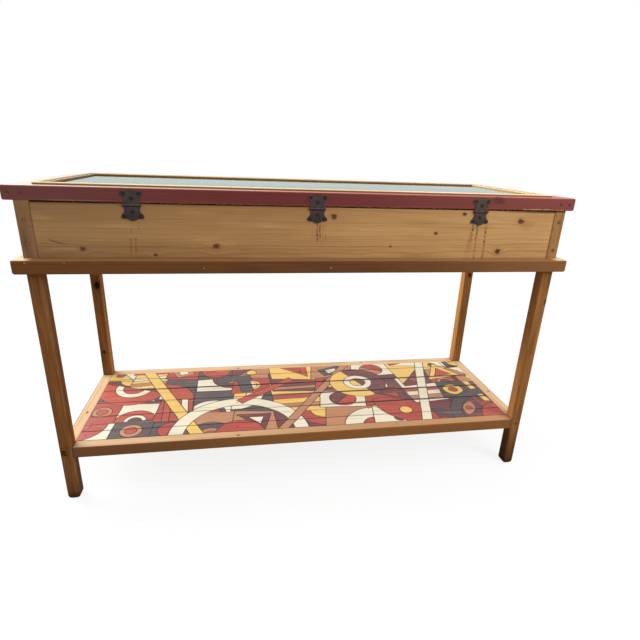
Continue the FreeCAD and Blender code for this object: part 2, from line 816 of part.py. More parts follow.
def draw_circle(drawing, x, y, radius):
    """A circle with its radius bound to the sheet."""
    centre = Vector(work_out(x), work_out(y))
    index = drawing.addGeometry(Part.Circle(centre, Vector(0, 0, 1), work_out(radius)))
    for title, kind, bound in (("high", "DistanceY", y), ("round", "Radius", radius)):
        if kind == "Radius":
            constraint = Sketcher.Constraint(kind, index, work_out(radius))
        else:
            constraint = Sketcher.Constraint(kind, -1, 1, index, 3, work_out(bound))
        place = drawing.addConstraint(constraint)
        drawing.renameConstraint(place, f"{title}_{index}")
        drawing.setExpression(f"Constraints.{title}_{index}", bound)


AXIS_OUT = "Sizes.barrel_radius + Sizes.barrel_clearance"


def hinge_leaf(name, middle, turn):
    """One leaf with its knuckle or knuckles. In its own frame x runs along the pin, y across the
    leaf and z out of the wood."""
    body = doc.addObject("PartDesign::Body", name)
    body.Label = name
    outline = attached_sketch(body, name + "_outline", "XY_Plane")
    outline.addGeometry(leaf_outline(middle))
    plate = body.newObject("PartDesign::Pad", name + "_plate")
    plate.Profile = outline
    plate.setExpression("Length", "Sizes.leaf_thick")
    barrel = attached_sketch(body, name + "_barrel_round", "YZ_Plane")
    draw_circle(barrel, "0", AXIS_OUT, "Sizes.barrel_radius")
    knuckle = body.newObject("PartDesign::Pad", name + "_knuckle")
    knuckle.Profile = barrel
    knuckle.Midplane = True
    if middle:
        knuckle.setExpression("Length", "Sizes.knuckle_length / 3")
    else:
        knuckle.setExpression("Length", "Sizes.knuckle_length")
        third = value("knuckle_length") / 6 + value("knuckle_gap")
        clear = value("barrel_radius") + value("leaf_clearance")
        opening = attached_sketch(body, name + "_opening_plan", "XY_Plane")
        corners = [
            Vector(-third, -clear), Vector(third, -clear), Vector(third, clear), Vector(-third, clear),
        ]
        for index in range(4):
            opening.addGeometry(Part.LineSegment(corners[index], corners[(index + 1) % 4]))
        gap = body.newObject("PartDesign::Pocket", name + "_opening")
        gap.Profile = opening
        gap.Midplane = True
        gap.Type = "ThroughAll"
    bore = attached_sketch(body, name + "_bore_round", "YZ_Plane")
    draw_circle(bore, "0", AXIS_OUT, "Sizes.pin_radius + Sizes.pin_clearance")
    bored = body.newObject("PartDesign::Pocket", name + "_bore")
    bored.Profile = bore
    bored.Midplane = True
    bored.Type = "ThroughAll"
    facing = Rotation(Vector(1, 0, 0), 90)
    body.Placement = Placement(Vector(), facing * Rotation(Vector(0, 0, 1), turn))
    return body


def make_hinges():
    """Three butterfly hinges over the joint of the lid and the case, each with its own pin."""
    for title, centre in (("left", "-Sizes.hinge_offset"), ("middle", "0"),
                          ("right", "Sizes.hinge_offset")):
        for leaf, middle, turn in (("lid", True, 0), ("case", False, 180)):
            name = f"{title}_hinge_{leaf}_leaf"
            body = hinge_leaf(name + "_blank", middle, turn)
            bind_place(body, centre, LID_FRONT, PIN_HEIGHT)
            drilled(body, name)
        pin = doc.addObject("Part::Cylinder", f"{title}_hinge_pin_shank")
        pin.setExpression("Radius", "Sizes.pin_radius")
        pin.setExpression("Height", "Sizes.knuckle_length + 2 * Sizes.pin_head_thick")
        heads = []
        for end, along in (
            ("first", "-Sizes.pin_head_thick - Sizes.pin_clearance"),
            ("second", "Sizes.knuckle_length + Sizes.pin_clearance"),
        ):
            head = doc.addObject("Part::Cylinder", f"{title}_hinge_pin_{end}_head")
            head.setExpression("Radius", "Sizes.pin_head_radius")
            head.setExpression("Height", "Sizes.pin_head_thick")
            head.setExpression("Placement.Base.z", along)
            heads.append(head)
        pin.setExpression("Placement.Base.z", "-Sizes.pin_head_thick")
        whole = fused(f"{title}_hinge_pin", [pin] + heads)
        whole.Label = f"{title}_hinge_pin"
        whole.Placement = Placement(Vector(), Rotation(Vector(0, 1, 0), 90))
        bind_place(
            whole, f"{centre} - Sizes.knuckle_length / 2", f"{LID_FRONT} - ({AXIS_OUT})", PIN_HEIGHT,
        )
        nodes.append(whole)


def make_shelf():
    """A frame of four boards between the posts, bearers inside it, and planks on the bearers."""
    between_x = "Sizes.case_length - 2 * Sizes.post_side"
    between_y = "Sizes.case_depth - 2 * Sizes.post_side"
    bottom = "Sizes.shelf_top - Sizes.shelf_height"
    for face, y in (("front", "-Sizes.case_depth / 2"), ("back", POST_Y)):
        body = timber(
            f"shelf_{face}_board_blank", between_x, "Sizes.post_side", "Sizes.shelf_height",
            f"-{POST_X}", y, bottom, "Sizes.shelf_easing",
        )
        drilled(body, f"shelf_{face}_board")
    for end, x in (("left", "-Sizes.case_length / 2"), ("right", POST_X)):
        body = timber(
            f"shelf_{end}_board_blank", "Sizes.post_side", between_y, "Sizes.shelf_height",
            x, f"-{POST_Y}", bottom, "Sizes.shelf_easing", "y",
        )
        drilled(body, f"shelf_{end}_board")

    for index, centre in enumerate(bearer_centres(), start=1):
        share = f"{index - 1} / (Sizes.bearer_count - 1)"
        reach = f"({POST_X} - Sizes.bearer_width / 2)"
        bearer = timber(
            f"shelf_bearer_{index}_blank", "Sizes.bearer_width", between_y,
            "Sizes.shelf_height - Sizes.plank_thick",
            f"-{reach} + 2 * {reach} * {share} - Sizes.bearer_width / 2", f"-{POST_Y}", bottom,
        )
        drilled(bearer, f"shelf_bearer_{index}")

    for index, (start, width, _) in enumerate(plank_bands(), start=1):
        name = f"shelf_plank_{index}"
        body = timber(
            name + "_blank", f"{between_x} - 2 * Sizes.plank_end_gap", width, "Sizes.plank_thick",
            f"-{POST_X} + Sizes.plank_end_gap", start, "Sizes.shelf_top - Sizes.plank_thick",
        )
        top = value("plank_thick")
        squared = body.Tip
        chamfer = body.newObject("PartDesign::Chamfer", name + "_bevel")
        chamfer.Base = (squared, edges_where(
            squared.Shape,
            lambda edge: runs_along(edge, "x") and abs(edge.CenterOfMass.z - top) < 1e-6,
        ))
        chamfer.setExpression("Size", "Sizes.plank_chamfer")
        drilled(body, name)


make_posts()
make_belt()
make_case()
make_lid_frame()
make_moulding()
make_hinges()
make_shelf()

doc.recompute()
for item in doc.Objects:
    if "Invalid" in item.State or "Error" in item.State:
        raise RuntimeError(f"{item.Name} failed: {item.State}")
for node in nodes:
    if node.Shape.isNull() or not node.Shape.isValid():
        raise RuntimeError(f"{node.Label} has no valid shape")

os.makedirs("parts", exist_ok=True)
for node in nodes:
    node.Shape.exportStep(f"parts/{node.Label}.step")
    box = node.Shape.BoundBox
    print(
        f"{node.Label}: {len(node.Shape.Solids)} solids,"
        f" x {box.XMin:.1f} to {box.XMax:.1f}, y {box.YMin:.1f} to {box.YMax:.1f},"
        f" z {box.ZMin:.1f} to {box.ZMax:.1f}"
    )
print(f"{len(nodes)} nodes")
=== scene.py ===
import math
import random

import bmesh
import bpy
from mathutils import Matrix, Vector


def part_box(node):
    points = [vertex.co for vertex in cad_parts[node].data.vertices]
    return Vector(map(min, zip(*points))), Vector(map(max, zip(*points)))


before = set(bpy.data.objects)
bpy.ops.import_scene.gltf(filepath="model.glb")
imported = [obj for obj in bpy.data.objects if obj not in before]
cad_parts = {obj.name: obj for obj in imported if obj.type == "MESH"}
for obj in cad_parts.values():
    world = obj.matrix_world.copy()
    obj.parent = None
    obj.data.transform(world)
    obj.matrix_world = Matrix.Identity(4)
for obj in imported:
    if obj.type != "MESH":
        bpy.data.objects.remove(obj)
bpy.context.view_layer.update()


# The four corner posts.
# Square battens of pine, stained brown and varnished, that run from the floor to the lid. Their edges are
# worn pale, the feet are dark from the floor, and each has its own knots. Their inner faces carry painted
# light above the shelf and painted shade below it, and the front right post has a painted shadow under the
# lid.
class Tone:
    """A socket in a finish: a number, a colour or a vector that may vary over the surface."""

    def __init__(self, finish, socket):
        self.finish = finish
        self.socket = socket

    def math(self, operation, *values):
        return self.finish.node(
            "ShaderNodeMath", {"operation": operation}, dict(enumerate(values))
        )

    def vector(self, operation, *values, outlet=0):
        return self.finish.node(
            "ShaderNodeVectorMath", {"operation": operation}, dict(enumerate((self,) + values)), outlet
        )

    def length(self):
        return self.vector("LENGTH", outlet=1)

    def __add__(self, other):
        return self.math("ADD", self, other)

    __radd__ = __add__

    def __sub__(self, other):
        return self.math("SUBTRACT", self, other)

    def __rsub__(self, other):
        return self.math("SUBTRACT", other, self)

    def __mul__(self, other):
        return self.math("MULTIPLY", self, other)

    __rmul__ = __mul__

    def __truediv__(self, other):
        return self.math("DIVIDE", self, other)

    def __mod__(self, other):
        return self.math("FLOORED_MODULO", self, other)

    def __abs__(self):
        return self.math("ABSOLUTE", self)

    def __or__(self, other):
        return self.math("MAXIMUM", self, other)

    def __and__(self, other):
        return self.math("MINIMUM", self, other)


class Finish:
    """The material of one piece. Its place is a point on the piece, in metres, at rest."""

    def __init__(self, name):
        self.material = bpy.data.materials.new(name)
        self.material.use_nodes = True
        self.tree = self.material.node_tree
        self.tree.nodes.clear()
        self.place = self.node("ShaderNodeTexCoord", {}, {}, "Object")
        self.colour = None

    def node(self, kind, settings, values, outlet=0):
        """Add a node: its settings first, then the values or links of its sockets."""
        made = self.tree.nodes.new(kind)
        for name, setting in settings.items():
            if name == "stops":
                stops = made.color_ramp.elements
                while len(stops) < len(setting):
                    stops.new(1)
                for stop, (spot, level) in zip(stops, setting):
                    stop.position = spot
                    stop.color = (level, level, level, 1)
            else:
                setattr(made, name, setting)
        for name, given in values.items():
            if isinstance(given, Tone):
                self.tree.links.new(given.socket, made.inputs[name])
            else:
                made.inputs[name].default_value = given
        return Tone(self, made.outputs[outlet]) if made.outputs else None

    def cloud(self, stretch, shift, detail=2.0):
        """Noise from 0 to 1, with so many blotches to the metre along each axis. Another shift
        gives other noise."""
        spot = self.place.vector("MULTIPLY_ADD", stretch, (shift, shift * 0.7, shift * 1.3))
        return self.node("ShaderNodeTexNoise", {}, {"Vector": spot, "Scale": 1.0, "Detail": detail})

    def axis(self, index):
        """How far along x, y or z the place is."""
        return self.node("ShaderNodeSeparateXYZ", {}, {0: self.place}, index)

    def tint(self, share, colour):
        """Lay a colour over the one that is there, by a share of 0 to 1."""
        self.colour = over(share, self.colour, colour)

    def stain_round(self, spots, reach, strength, colour):
        """Lay a colour in a ring round each screw or nail."""
        for spot in spots:
            away = self.place.vector("SUBTRACT", spot).length()
            self.tint(fade(away, reach, reach * 0.45) * strength, colour)

    def coat(self, roughness, height=None, relief=0.0, **constants):
        """Join the colour, a roughness and a relief to the surface."""
        values = {"Base Color": self.colour, "Roughness": roughness}
        if height is not None:
            values["Normal"] = self.node(
                "ShaderNodeBump", {}, {"Height": height, "Strength": 1.0, "Distance": relief}
            )
        values.update({name.replace("_", " "): number for name, number in constants.items()})
        surface = self.node("ShaderNodeBsdfPrincipled", {}, values)
        self.node("ShaderNodeOutputMaterial", {}, {"Surface": surface})
        return self.material


def shade(red, green, blue):
    """A colour from its 0 to 255 parts."""
    parts = [part / 255 for part in (red, green, blue)]
    return tuple(p / 12.92 if p < 0.04045 else ((p + 0.055) / 1.055) ** 2.4 for p in parts) + (1.0,)


def tinted(colour, red, green, blue):
    """A colour with its parts made stronger or weaker."""
    return (colour[0] * red, colour[1] * green, colour[2] * blue, 1.0)


def fade(value, nought, full):
    """A share that is 0 where a value is at nought and 1 where it is at full, smooth between."""
    return value.finish.node(
        "ShaderNodeMapRange", {"interpolation_type": "SMOOTHSTEP"},
        {"Value": value, "From Min": nought, "From Max": full, "To Min": 0.0, "To Max": 1.0},
    )


def over(share, under, top):
    """One colour laid over another by a share."""
    return share.finish.node("ShaderNodeMix", {"data_type": "RGBA"}, {0: share, 6: under, 7: top}, 2)


DARK_STAIN = shade(52, 30, 16)


def by_grain(along, lengthwise, crosswise):
    """Three numbers, for x, y and z: one along the grain, and another on the two axes across it."""
    return [lengthwise if index == along else crosswise for index in range(3)]


class Pine(Finish):
    """Sawn pine with year rings round its heart line, fibres along the grain, and knots. The heart
    is given from the board's middle, and a knot by the x, y and z of its middle and its radius."""

    def __init__(self, name, node, along, heart, pale, late, knots=(), *, rings, sway=0.011, seed):
        super().__init__(name)
        self.low, self.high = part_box(node)
        self.along = along
        self.seed = seed
        drift = self.cloud(by_grain(along, 1.5, 7.0), seed)
        heart_line = (self.low + self.high) / 2 + Vector(heart)
        from_heart = self.place.vector("SUBTRACT", heart_line)
        depth = from_heart.vector("MULTIPLY", by_grain(along, 0.0, 1.0)).length()
        wobble = self.cloud(by_grain(along, 8.0, 34.0), seed + 2, 3.0)
        depth = depth + (drift - 0.5) * (2 * sway) + (wobble - 0.5) * (0.3 * sway + rings * 0.4)
        uneven = self.cloud((70.0, 70.0, 110.0), seed)
        from_knots = []
        for x, y, z, radius in knots:
            from_knot = self.place.vector("SUBTRACT", (x, y, z))
            away = from_knot.vector("MULTIPLY", by_grain(along, 0.72, 1.0)).length()
            depth = depth + fade(away, 4.5 * radius, 0.0) * (0.75 * radius)
            from_knots.append((away + (uneven - 0.5) * (1.3 * radius)) / radius)
        count = depth / rings
        band = self.node(
            "ShaderNodeValToRGB",
            {"stops": ((0.0, 0.15), (0.4, 0.1), (0.8, 0.75), (0.9, 1.0), (1.0, 0.15))},
            {"Fac": count % 1.0},
        )
        ring_number = count - count % 1.0
        strength = self.node("ShaderNodeTexWhiteNoise", {"noise_dimensions": "1D"}, {"W": ring_number})
        self.late_wood = band * (strength * 0.75 + 0.15)
        self.fibre = self.cloud(by_grain(along, 9.0, 520.0), seed, 3.0)
        self.patch = self.cloud(by_grain(along, 2.2, 11.0), seed + 5, 3.0)
        self.colour = over(self.late_wood, pale, late)
        self.tint((self.fibre - 0.35) * 0.5, late)
        self.tint(fade(self.patch, 0.45, 0.75) * 0.35, late)
        self.tint(fade(wobble, 0.52, 0.78) * 0.28, tinted(late, 0.86, 0.78, 0.70))
        if from_knots:
            knot = from_knots[0]
            for other in from_knots[1:]:
                knot = knot & other
            self.tint(fade(knot, 2.4, 0.8) * 0.45, tinted(late, 0.85, 0.74, 0.66))
            self.tint(fade(knot, 1.1, 0.85) * 0.92, tinted(late, 0.32, 0.19, 0.15))
            self.tint(fade(abs(knot - 0.85), 0.25, 0.05) * 0.6, tinted(late, 0.14, 0.09, 0.08))
            self.tint(fade(knot, 0.80, 0.4) * 0.8, tinted(late, 0.09, 0.06, 0.06))
            self.knot = knot
        self.relief = self.fibre * 0.5 + self.late_wood * 0.5

    def from_faces(self, index):
        """How far the place is from the nearer of the board's two faces across x, y or z."""
        spot = self.axis(index)
        return (spot - self.low[index]) & (self.high[index] - spot)

    def near_edges(self, reach):
        """1 on the board's long edges, falling to 0 at a reach away from them."""
        one, other = (self.from_faces(index) for index in range(3) if index != self.along)
        return fade(one + other, reach, 0.0)

    def darken(self, share):
        """Stain the wood dark brown by a share."""
        self.tint(share, DARK_STAIN)

    def wear(self, reach, colour, amount):
        """Rub the long edges pale, in patches."""
        patchy = self.cloud(by_grain(self.along, 16.0, 60.0), self.seed + 9)
        self.tint(self.near_edges(reach) * fade(patchy, 0.35, 0.6) * amount, colour)

    def finished(self, roughness=0.5, shine=0.2):
        """The wood's material, smoother where it is varnished and dull where it is bare."""
        dull = self.fibre * 0.16 + (roughness - 0.08)
        return self.coat(dull, self.relief, 0.0003, Specular_IOR_Level=shine)


def dress(node, material):
    """Give a piece from the frame its finish."""
    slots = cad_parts[node].data.materials
    slots.clear()
    slots.append(material)


POST_KNOTS = {
    # the x, y, z and radius of each knot, in metres
    "front_left": [(-0.7145, -0.250, 0.162, 0.007), (-0.700, -0.232, 0.512, 0.004)],
    "front_right": [(0.724, -0.250, 0.596, 0.005), (0.697, -0.215, 0.330, 0.006)],
    "back_left": [(-0.7040, 0.215, 0.532, 0.009), (-0.712, 0.215, 0.272, 0.004)],
    "back_right": [(0.7120, 0.215, 0.560, 0.006), (0.692, 0.240, 0.405, 0.006)],
}
LIT_INNER_FACES = {
    # the inner face's painted light: its colour, and the heights where none and all of it shows
    "front_left": (shade(112, 74, 42), 0.10, 0.16), "front_right": (shade(206, 146, 84), 0.52, 0.30),
    "back_left": (shade(190, 134, 78), 0.14, 0.20), "back_right": (shade(226, 162, 96), 0.14, 0.20),
}
BELT_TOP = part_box("front_belt_rail")[1].z
SHELF_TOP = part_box("shelf_front_board")[1].z
SCREW_INSET = 0.017  # of the screws into the panels, from a post's outer faces

for turn, (corner, knots) in enumerate(POST_KNOTS.items()):
    node = corner + "_post"
    low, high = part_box(node)
    middle = (low + high) / 2
    on_left, in_front = "left" in corner, "front" in corner
    outer_x, inner_x = (low.x, high.x) if on_left else (high.x, low.x)
    outer_y = low.y if in_front else high.y
    # The left posts are a darker brown: partly their own stain, partly painted shade, as the light falls
    # from the right.
    brown = shade(134, 89, 50) if on_left else shade(143, 97, 54)
    post = Pine(
        node + "_stain", node, 2, (0.020 - 0.012 * turn, 0.026, 0), brown,
        tinted(brown, 0.46, 0.40, 0.36), knots, rings=0.0036, sway=0.006, seed=3.0 * turn + 1,
    )
    height = post.axis(2)
    from_inner = abs(post.axis(0) - inner_x)
    face_colour, none, full = LIT_INNER_FACES[corner]
    # Painted light on the inner face above the shelf, as lit from behind, and painted shade on it below the
    # shelf.
    on_face = fade(from_inner, 0.0045, 0.0010)
    inner_face_light = fade(height, none, full) * fade(height, 0.10, 0.18) * 0.62
    post.tint(on_face * inner_face_light, over(post.late_wood, face_colour, tinted(face_colour, 0.6, 0.5, 0.4)))
    post.darken(on_face * fade(height, 0.16, 0.12) * 0.5)
    above_belt = shade(146, 116, 88) if on_left else shade(166, 126, 80)
    post.tint(fade(height, BELT_TOP - 0.007, BELT_TOP + 0.008) * 0.55, above_belt)
    scuffs = post.cloud((24.0, 24.0, 70.0), 77.0 + turn, 3.0)
    by_panel = fade(from_inner, 0.0085, 0.0030) * fade(height, BELT_TOP + 0.003, BELT_TOP + 0.013)
    post.tint(by_panel * fade(scuffs, 0.50, 0.62) * 0.5, shade(118, 68, 44))
    post.wear(0.006, shade(176, 124, 72), 0.5)
    streaks = post.cloud((70.0, 70.0, 5.0), 3.0 * turn + 2, 4.0)
    post.darken(fade(streaks, 0.50, 0.74) * 0.5)
    post.tint(fade(streaks, 0.48, 0.32) * 0.40, tinted(brown, 1.8, 1.65, 1.45))
    grime = post.cloud((30.0, 30.0, 22.0), 5.0 * turn + 3, 4.0)
    post.darken(fade(grime * 0.12 - height, -0.10, 0.04) * (0.2 if on_left else 0.75))
    post.darken(fade(height - grime * 0.03, 0.014, -0.010) * 0.75)
    post.darken(fade(abs(height - (SHELF_TOP + 0.0015)), 0.0035, 0.0005) * 0.2)
    if corner == "front_right":
        # painted shadow under the lid's right end
        post.darken(fade(height, high.z - 0.0060, high.z - 0.0038) * 0.8)
    screw_x = outer_x + (SCREW_INSET if on_left else -SCREW_INSET)
    screw_y = outer_y + (SCREW_INSET if in_front else -SCREW_INSET)
    levels = (0.825, 0.769) if on_left else (0.838, 0.756)
    screws = [(screw_x, outer_y, level) for level in levels]
    screws += [(outer_x, screw_y, level - 0.014) for level in levels]
    screws += [(middle.x, outer_y, SHELF_TOP - 0.017), (outer_x, middle.y, SHELF_TOP - 0.026)]
    post.stain_round(screws, 0.0080, 0.45 if on_left else 0.6, shade(84, 50, 34))
    dress(node, post.finished(0.56, 0.02))


# The shelf's frame.
# Four pine boards screwed between the posts. Their tops are varnished and hardly stained, their
# outer faces are stained brown, and the joints at the posts are dark with dirt.
SIDES = {"front": 0, "back": 0, "left": 1, "right": 1}  # and the axis along which a board there runs


def outer_face(side, node):
    """Where a board's outer face is: its y at the table's front or back, and its x at an end."""
    low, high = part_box(node)
    return {"front": low.y, "back": high.y, "left": low.x, "right": high.x}[side]


for turn, (side, along) in enumerate(SIDES.items()):
    node = f"shelf_{side}_board"
    low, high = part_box(node)
    knots = [
        (low.x + 0.34 * (high.x - low.x), low.y + 0.012, high.z, 0.0035),
        (low.x + 0.71 * (high.x - low.x), low.y + 0.024, high.z, 0.003),
    ] if along == 0 else [(low.x + 0.02, low.y + 0.16, high.z, 0.003)]
    pale = shade(214, 180, 140) if side == "front" else shade(230, 197, 152)
    board = Pine(
        node + "_varnish", node, along, (0.006, 0.008, -0.045), pale,
        tinted(pale, 0.76, 0.61, 0.50), knots, rings=0.0032, sway=0.005, seed=20 + 2.0 * turn,
    )
    board.wear(0.004, shade(240, 206, 156), 0.15 if side == "front" else 0.4)
    if side == "front":
        board.tint(fade(board.axis(0), -0.45, 0.25) * 0.8, shade(188, 138, 96))
    hairs = board.cloud(by_grain(along, 3.0, 420.0), 5.0 + turn, 3.0)
    board.tint(fade(hairs, 0.55, 0.80) * 0.4, shade(150, 98, 58))
    from_outside = abs(board.axis(1 - along) - outer_face(side, node))
    brown = over(board.late_wood * 0.7, shade(108, 66, 32), shade(86, 49, 22))
    if along == 0:
        # Lighter towards the right: partly the stain's own tone, partly painted light falling from the
        # right.
        brown = over(fade(board.axis(0), -0.55, 0.0) * 0.5, brown, shade(148, 97, 44))
        brown = over(fade(board.patch, 0.45, 0.75) * 0.35, brown, shade(88, 54, 30))
    board.tint(fade(from_outside, 0.0040, 0.0022) * 0.95, brown)
    from_ends = board.from_faces(along)
    board.darken(fade(from_ends, 0.004, 0.0) * 0.7)
    board.darken(fade(from_ends, 0.050, 0.0) * 0.12)
    dress(node, board.finished(0.46, 0.12))


# The bearers under the shelf.
# Four plain pine slats, left bare, that lie across the table under the planks.
for turn in range(1, 5):
    node = f"shelf_bearer_{turn}"
    bearer = Pine(
        node + "_bare", node, 1, (0.02, 0, -0.05), shade(214, 174, 122), shade(186, 138, 88),
        rings=0.005, seed=30.0 + turn,
    )
    dress(node, bearer.finished(0.62, 0.2))


# The painted shelf planks.
# Six pine planks nailed along the shelf, painted in flat earth colours as one patchwork of leaning
# patches with figures in them, and long bars and arcs across it. Each form has a thin brush line.
BRICK = shade(190, 80, 62)
RUST = shade(180, 74, 62)
MUSTARD = shade(244, 202, 110)
CREAM = shade(242, 234, 208)
PLUM = shade(114, 60, 66)
CHARCOAL = shade(84, 76, 78)
TAN = shade(192, 136, 98)
INK = shade(36, 24, 20)
BRUSH_LINE = 2.9
# The first patch starts at the left and front, and the last one starts before the right and back.
PICTURE_LEFT, PICTURE_RIGHT = -712.0, 680.0
PICTURE_FRONT, PICTURE_BACK = -232.0, 205.0
# How far a patch's leaning edge, and a long form's line, may reach past the place noted for it.
LEAN_REACH, LINE_REACH = 18.0, 6.0
FIGURES = ["quarter", "quarter", "eye", "peak", "half", "bars", "split", "arch", "leaf", "box"]


def compose_picture(pick):
    """The picture's columns from left to right, in millimetres: where each starts, its width, how
    far it leans, and its patches with their figure, three paints and a chance of 0 to 1."""
    columns = []
    left = PICTURE_LEFT
    ground = None
    while left < PICTURE_RIGHT:
        width = pick.uniform(105, 172)
        patches = []
        low = PICTURE_FRONT
        while low < PICTURE_BACK:
            depth = pick.uniform(92, 165)
            pots = [pot for pot in (BRICK, RUST, MUSTARD, CREAM, PLUM, CHARCOAL, TAN) if pot is not ground]
            ground, pot, accent = pick.sample(pots, 3)
            tilt, figure, chance = pick.uniform(-8, 8), pick.choice(FIGURES), pick.random()
            patches.append((low, depth, tilt, figure, (ground, pot, accent), chance))
            low += depth
        columns.append((left, width, pick.uniform(-10, 10), patches))
        left += width
    return columns


def disc(spot, x, y, radius):
    """How far outside a disc a spot is. Below nought is inside, here and in the other forms."""
    return spot.vector("SUBTRACT", (x, y, 0.0)).length() - radius


def beyond(spot, x, y, angle):
    """How far a spot is past a straight line, which faces an angle."""
    facing = (math.cos(math.radians(angle)), math.sin(math.radians(angle)), 0.0)
    return spot.vector("DOT_PRODUCT", facing, outlet=1) - (x * facing[0] + y * facing[1])


def strip(spot, x, y, angle, width):
    """How far a spot is outside an endless straight strip."""
    return abs(beyond(spot, x, y, angle)) - width / 2


def block(spot, x, y, width, depth, angle):
    """How far a spot is outside a rectangle, turned by an angle."""
    return strip(spot, x, y, angle, width) | strip(spot, x, y, angle + 90, depth)


def ring(spot, x, y, radius, width):
    """How far a spot is outside a round band."""
    return abs(disc(spot, x, y, radius)) - width / 2


def peak(spot, corners):
    """How far a spot is outside a triangle, whose corners run anticlockwise."""
    form = None
    for (x, y), (next_x, next_y) in zip(corners, corners[1:] + corners[:1]):
        side = beyond(spot, x, y, math.degrees(math.atan2(next_y - y, next_x - x)) - 90)
        form = side if form is None else form | side
    return form


class Picture(Finish):
    """A part of the picture, kept as a group: a spot and the paint under it go in."""

    def __init__(self, name):
        self.tree = bpy.data.node_groups.new(name, "ShaderNodeTree")
        for title, kind, side in (
            ("Spot", "NodeSocketVector", "INPUT"), ("Under", "NodeSocketColor", "INPUT"),
            ("Paint", "NodeSocketColor", "OUTPUT"),
        ):
            self.tree.interface.new_socket(name=title, in_out=side, socket_type=kind)
        self.spot = self.node("NodeGroupInput", {}, {}, "Spot")
        self.colour = self.node("NodeGroupInput", {}, {}, "Under")

    def lay_on(self, plank, spot, under):
        """End the group, and lay it on a plank over the paint that is there."""
        self.node("NodeGroupOutput", {}, {"Paint": self.colour})
        return plank.node("ShaderNodeGroup", {"node_tree": self.tree}, {"Spot": spot, "Under": under})

    def lay(self, form, pot):
        """Paint a form and its brush line."""
        self.tint(fade(form, BRUSH_LINE / 2 + 0.4, BRUSH_LINE / 2 - 0.4), INK)
        self.tint(fade(form, -BRUSH_LINE / 2 + 0.4, -BRUSH_LINE / 2 - 0.4), pot)

    def lay_patch(self, left, width, lean, patch):
        """Paint one patch. It runs on to the right and upwards, under the patches that follow."""
        low, depth, tilt, figure, (ground, pot, accent), chance = patch
        spot = self.spot
        x, y, small = left + width / 2, low + depth / 2, min(width, depth)
        inside = beyond(spot, left, y, 180 + lean) | beyond(spot, x, low, tilt - 90)
        self.lay(inside, ground)
        if figure == "quarter":
            corner = (left + (chance < 0.5) * width, low + (chance * 4 % 2 < 1) * depth)
            self.lay(disc(spot, *corner, small * (0.78 + 0.2 * chance)) | inside, pot)
            self.lay(disc(spot, *corner, small * 0.4) | inside, accent)
        elif figure == "eye":
            self.lay(disc(spot, x, y, small * (0.27 + 0.1 * chance)), pot)
            self.lay(disc(spot, x, y, small * 0.16), accent)
        elif figure == "peak":
            top = low + (0.86 if chance < 0.6 else 0.12) * depth
            foot = low + (0.12 if chance < 0.6 else 0.86) * depth
            corners = [(left + 0.1 * width, foot), (left + 0.9 * width, foot), (left + chance * width, top)]
            if top < foot:
                corners.reverse()
            middle = [sum(corner[index] for corner in corners) / 3 for index in (0, 1)]
            core = [tuple(0.45 * c + 0.55 * m for c, m in zip(corner, middle)) for corner in corners]
            self.lay(peak(spot, corners) | inside, pot)
            self.lay(peak(spot, core), accent)
        elif figure == "half":
            round_form = disc(spot, x, y, small * 0.42)
            split = beyond(spot, x, y, 180 * chance)
            self.lay(round_form | split, pot)
            self.lay(round_form | split * -1.0, accent)
        elif figure == "bars":
            angle = 8 * chance + (0 if width < depth else 90)
            for shift, bar_pot in ((-0.22, pot), (0.24, accent)):
                bar = strip(spot, x + shift * width, y + shift * depth, angle, 0.2 * small)
                self.lay(bar | inside, bar_pot)
        elif figure == "split":
            slope = math.degrees(math.atan2(width, depth)) * (1 if chance < 0.5 else -1)
            self.lay(beyond(spot, x, y, slope) | inside, pot)
            self.lay(disc(spot, x, y - 0.2 * depth, small * 0.14) | inside, accent)
        elif figure == "arch":
            self.lay(ring(spot, x, low, small * 0.46, small * 0.26) | inside, pot)
            self.lay(disc(spot, x, low, small * 0.2) | inside, accent)
        elif figure == "leaf":
            reach = 0.62 * small
            aside = (0.36 * small, (0.5 - chance) * 0.5 * small)
            leaf = disc(spot, x - aside[0], y - aside[1], reach)
            leaf = leaf | disc(spot, x + aside[0], y + aside[1], reach)
            self.lay(leaf | inside, pot)
            self.lay(disc(spot, x, y, small * 0.11), accent)
        elif figure == "box":
            self.lay(block(spot, x, y, 0.58 * width, 0.56 * depth, 30 * chance) | inside, pot)
            self.lay(block(spot, x, y, 0.28 * width, 0.26 * depth, 30 * chance), accent)


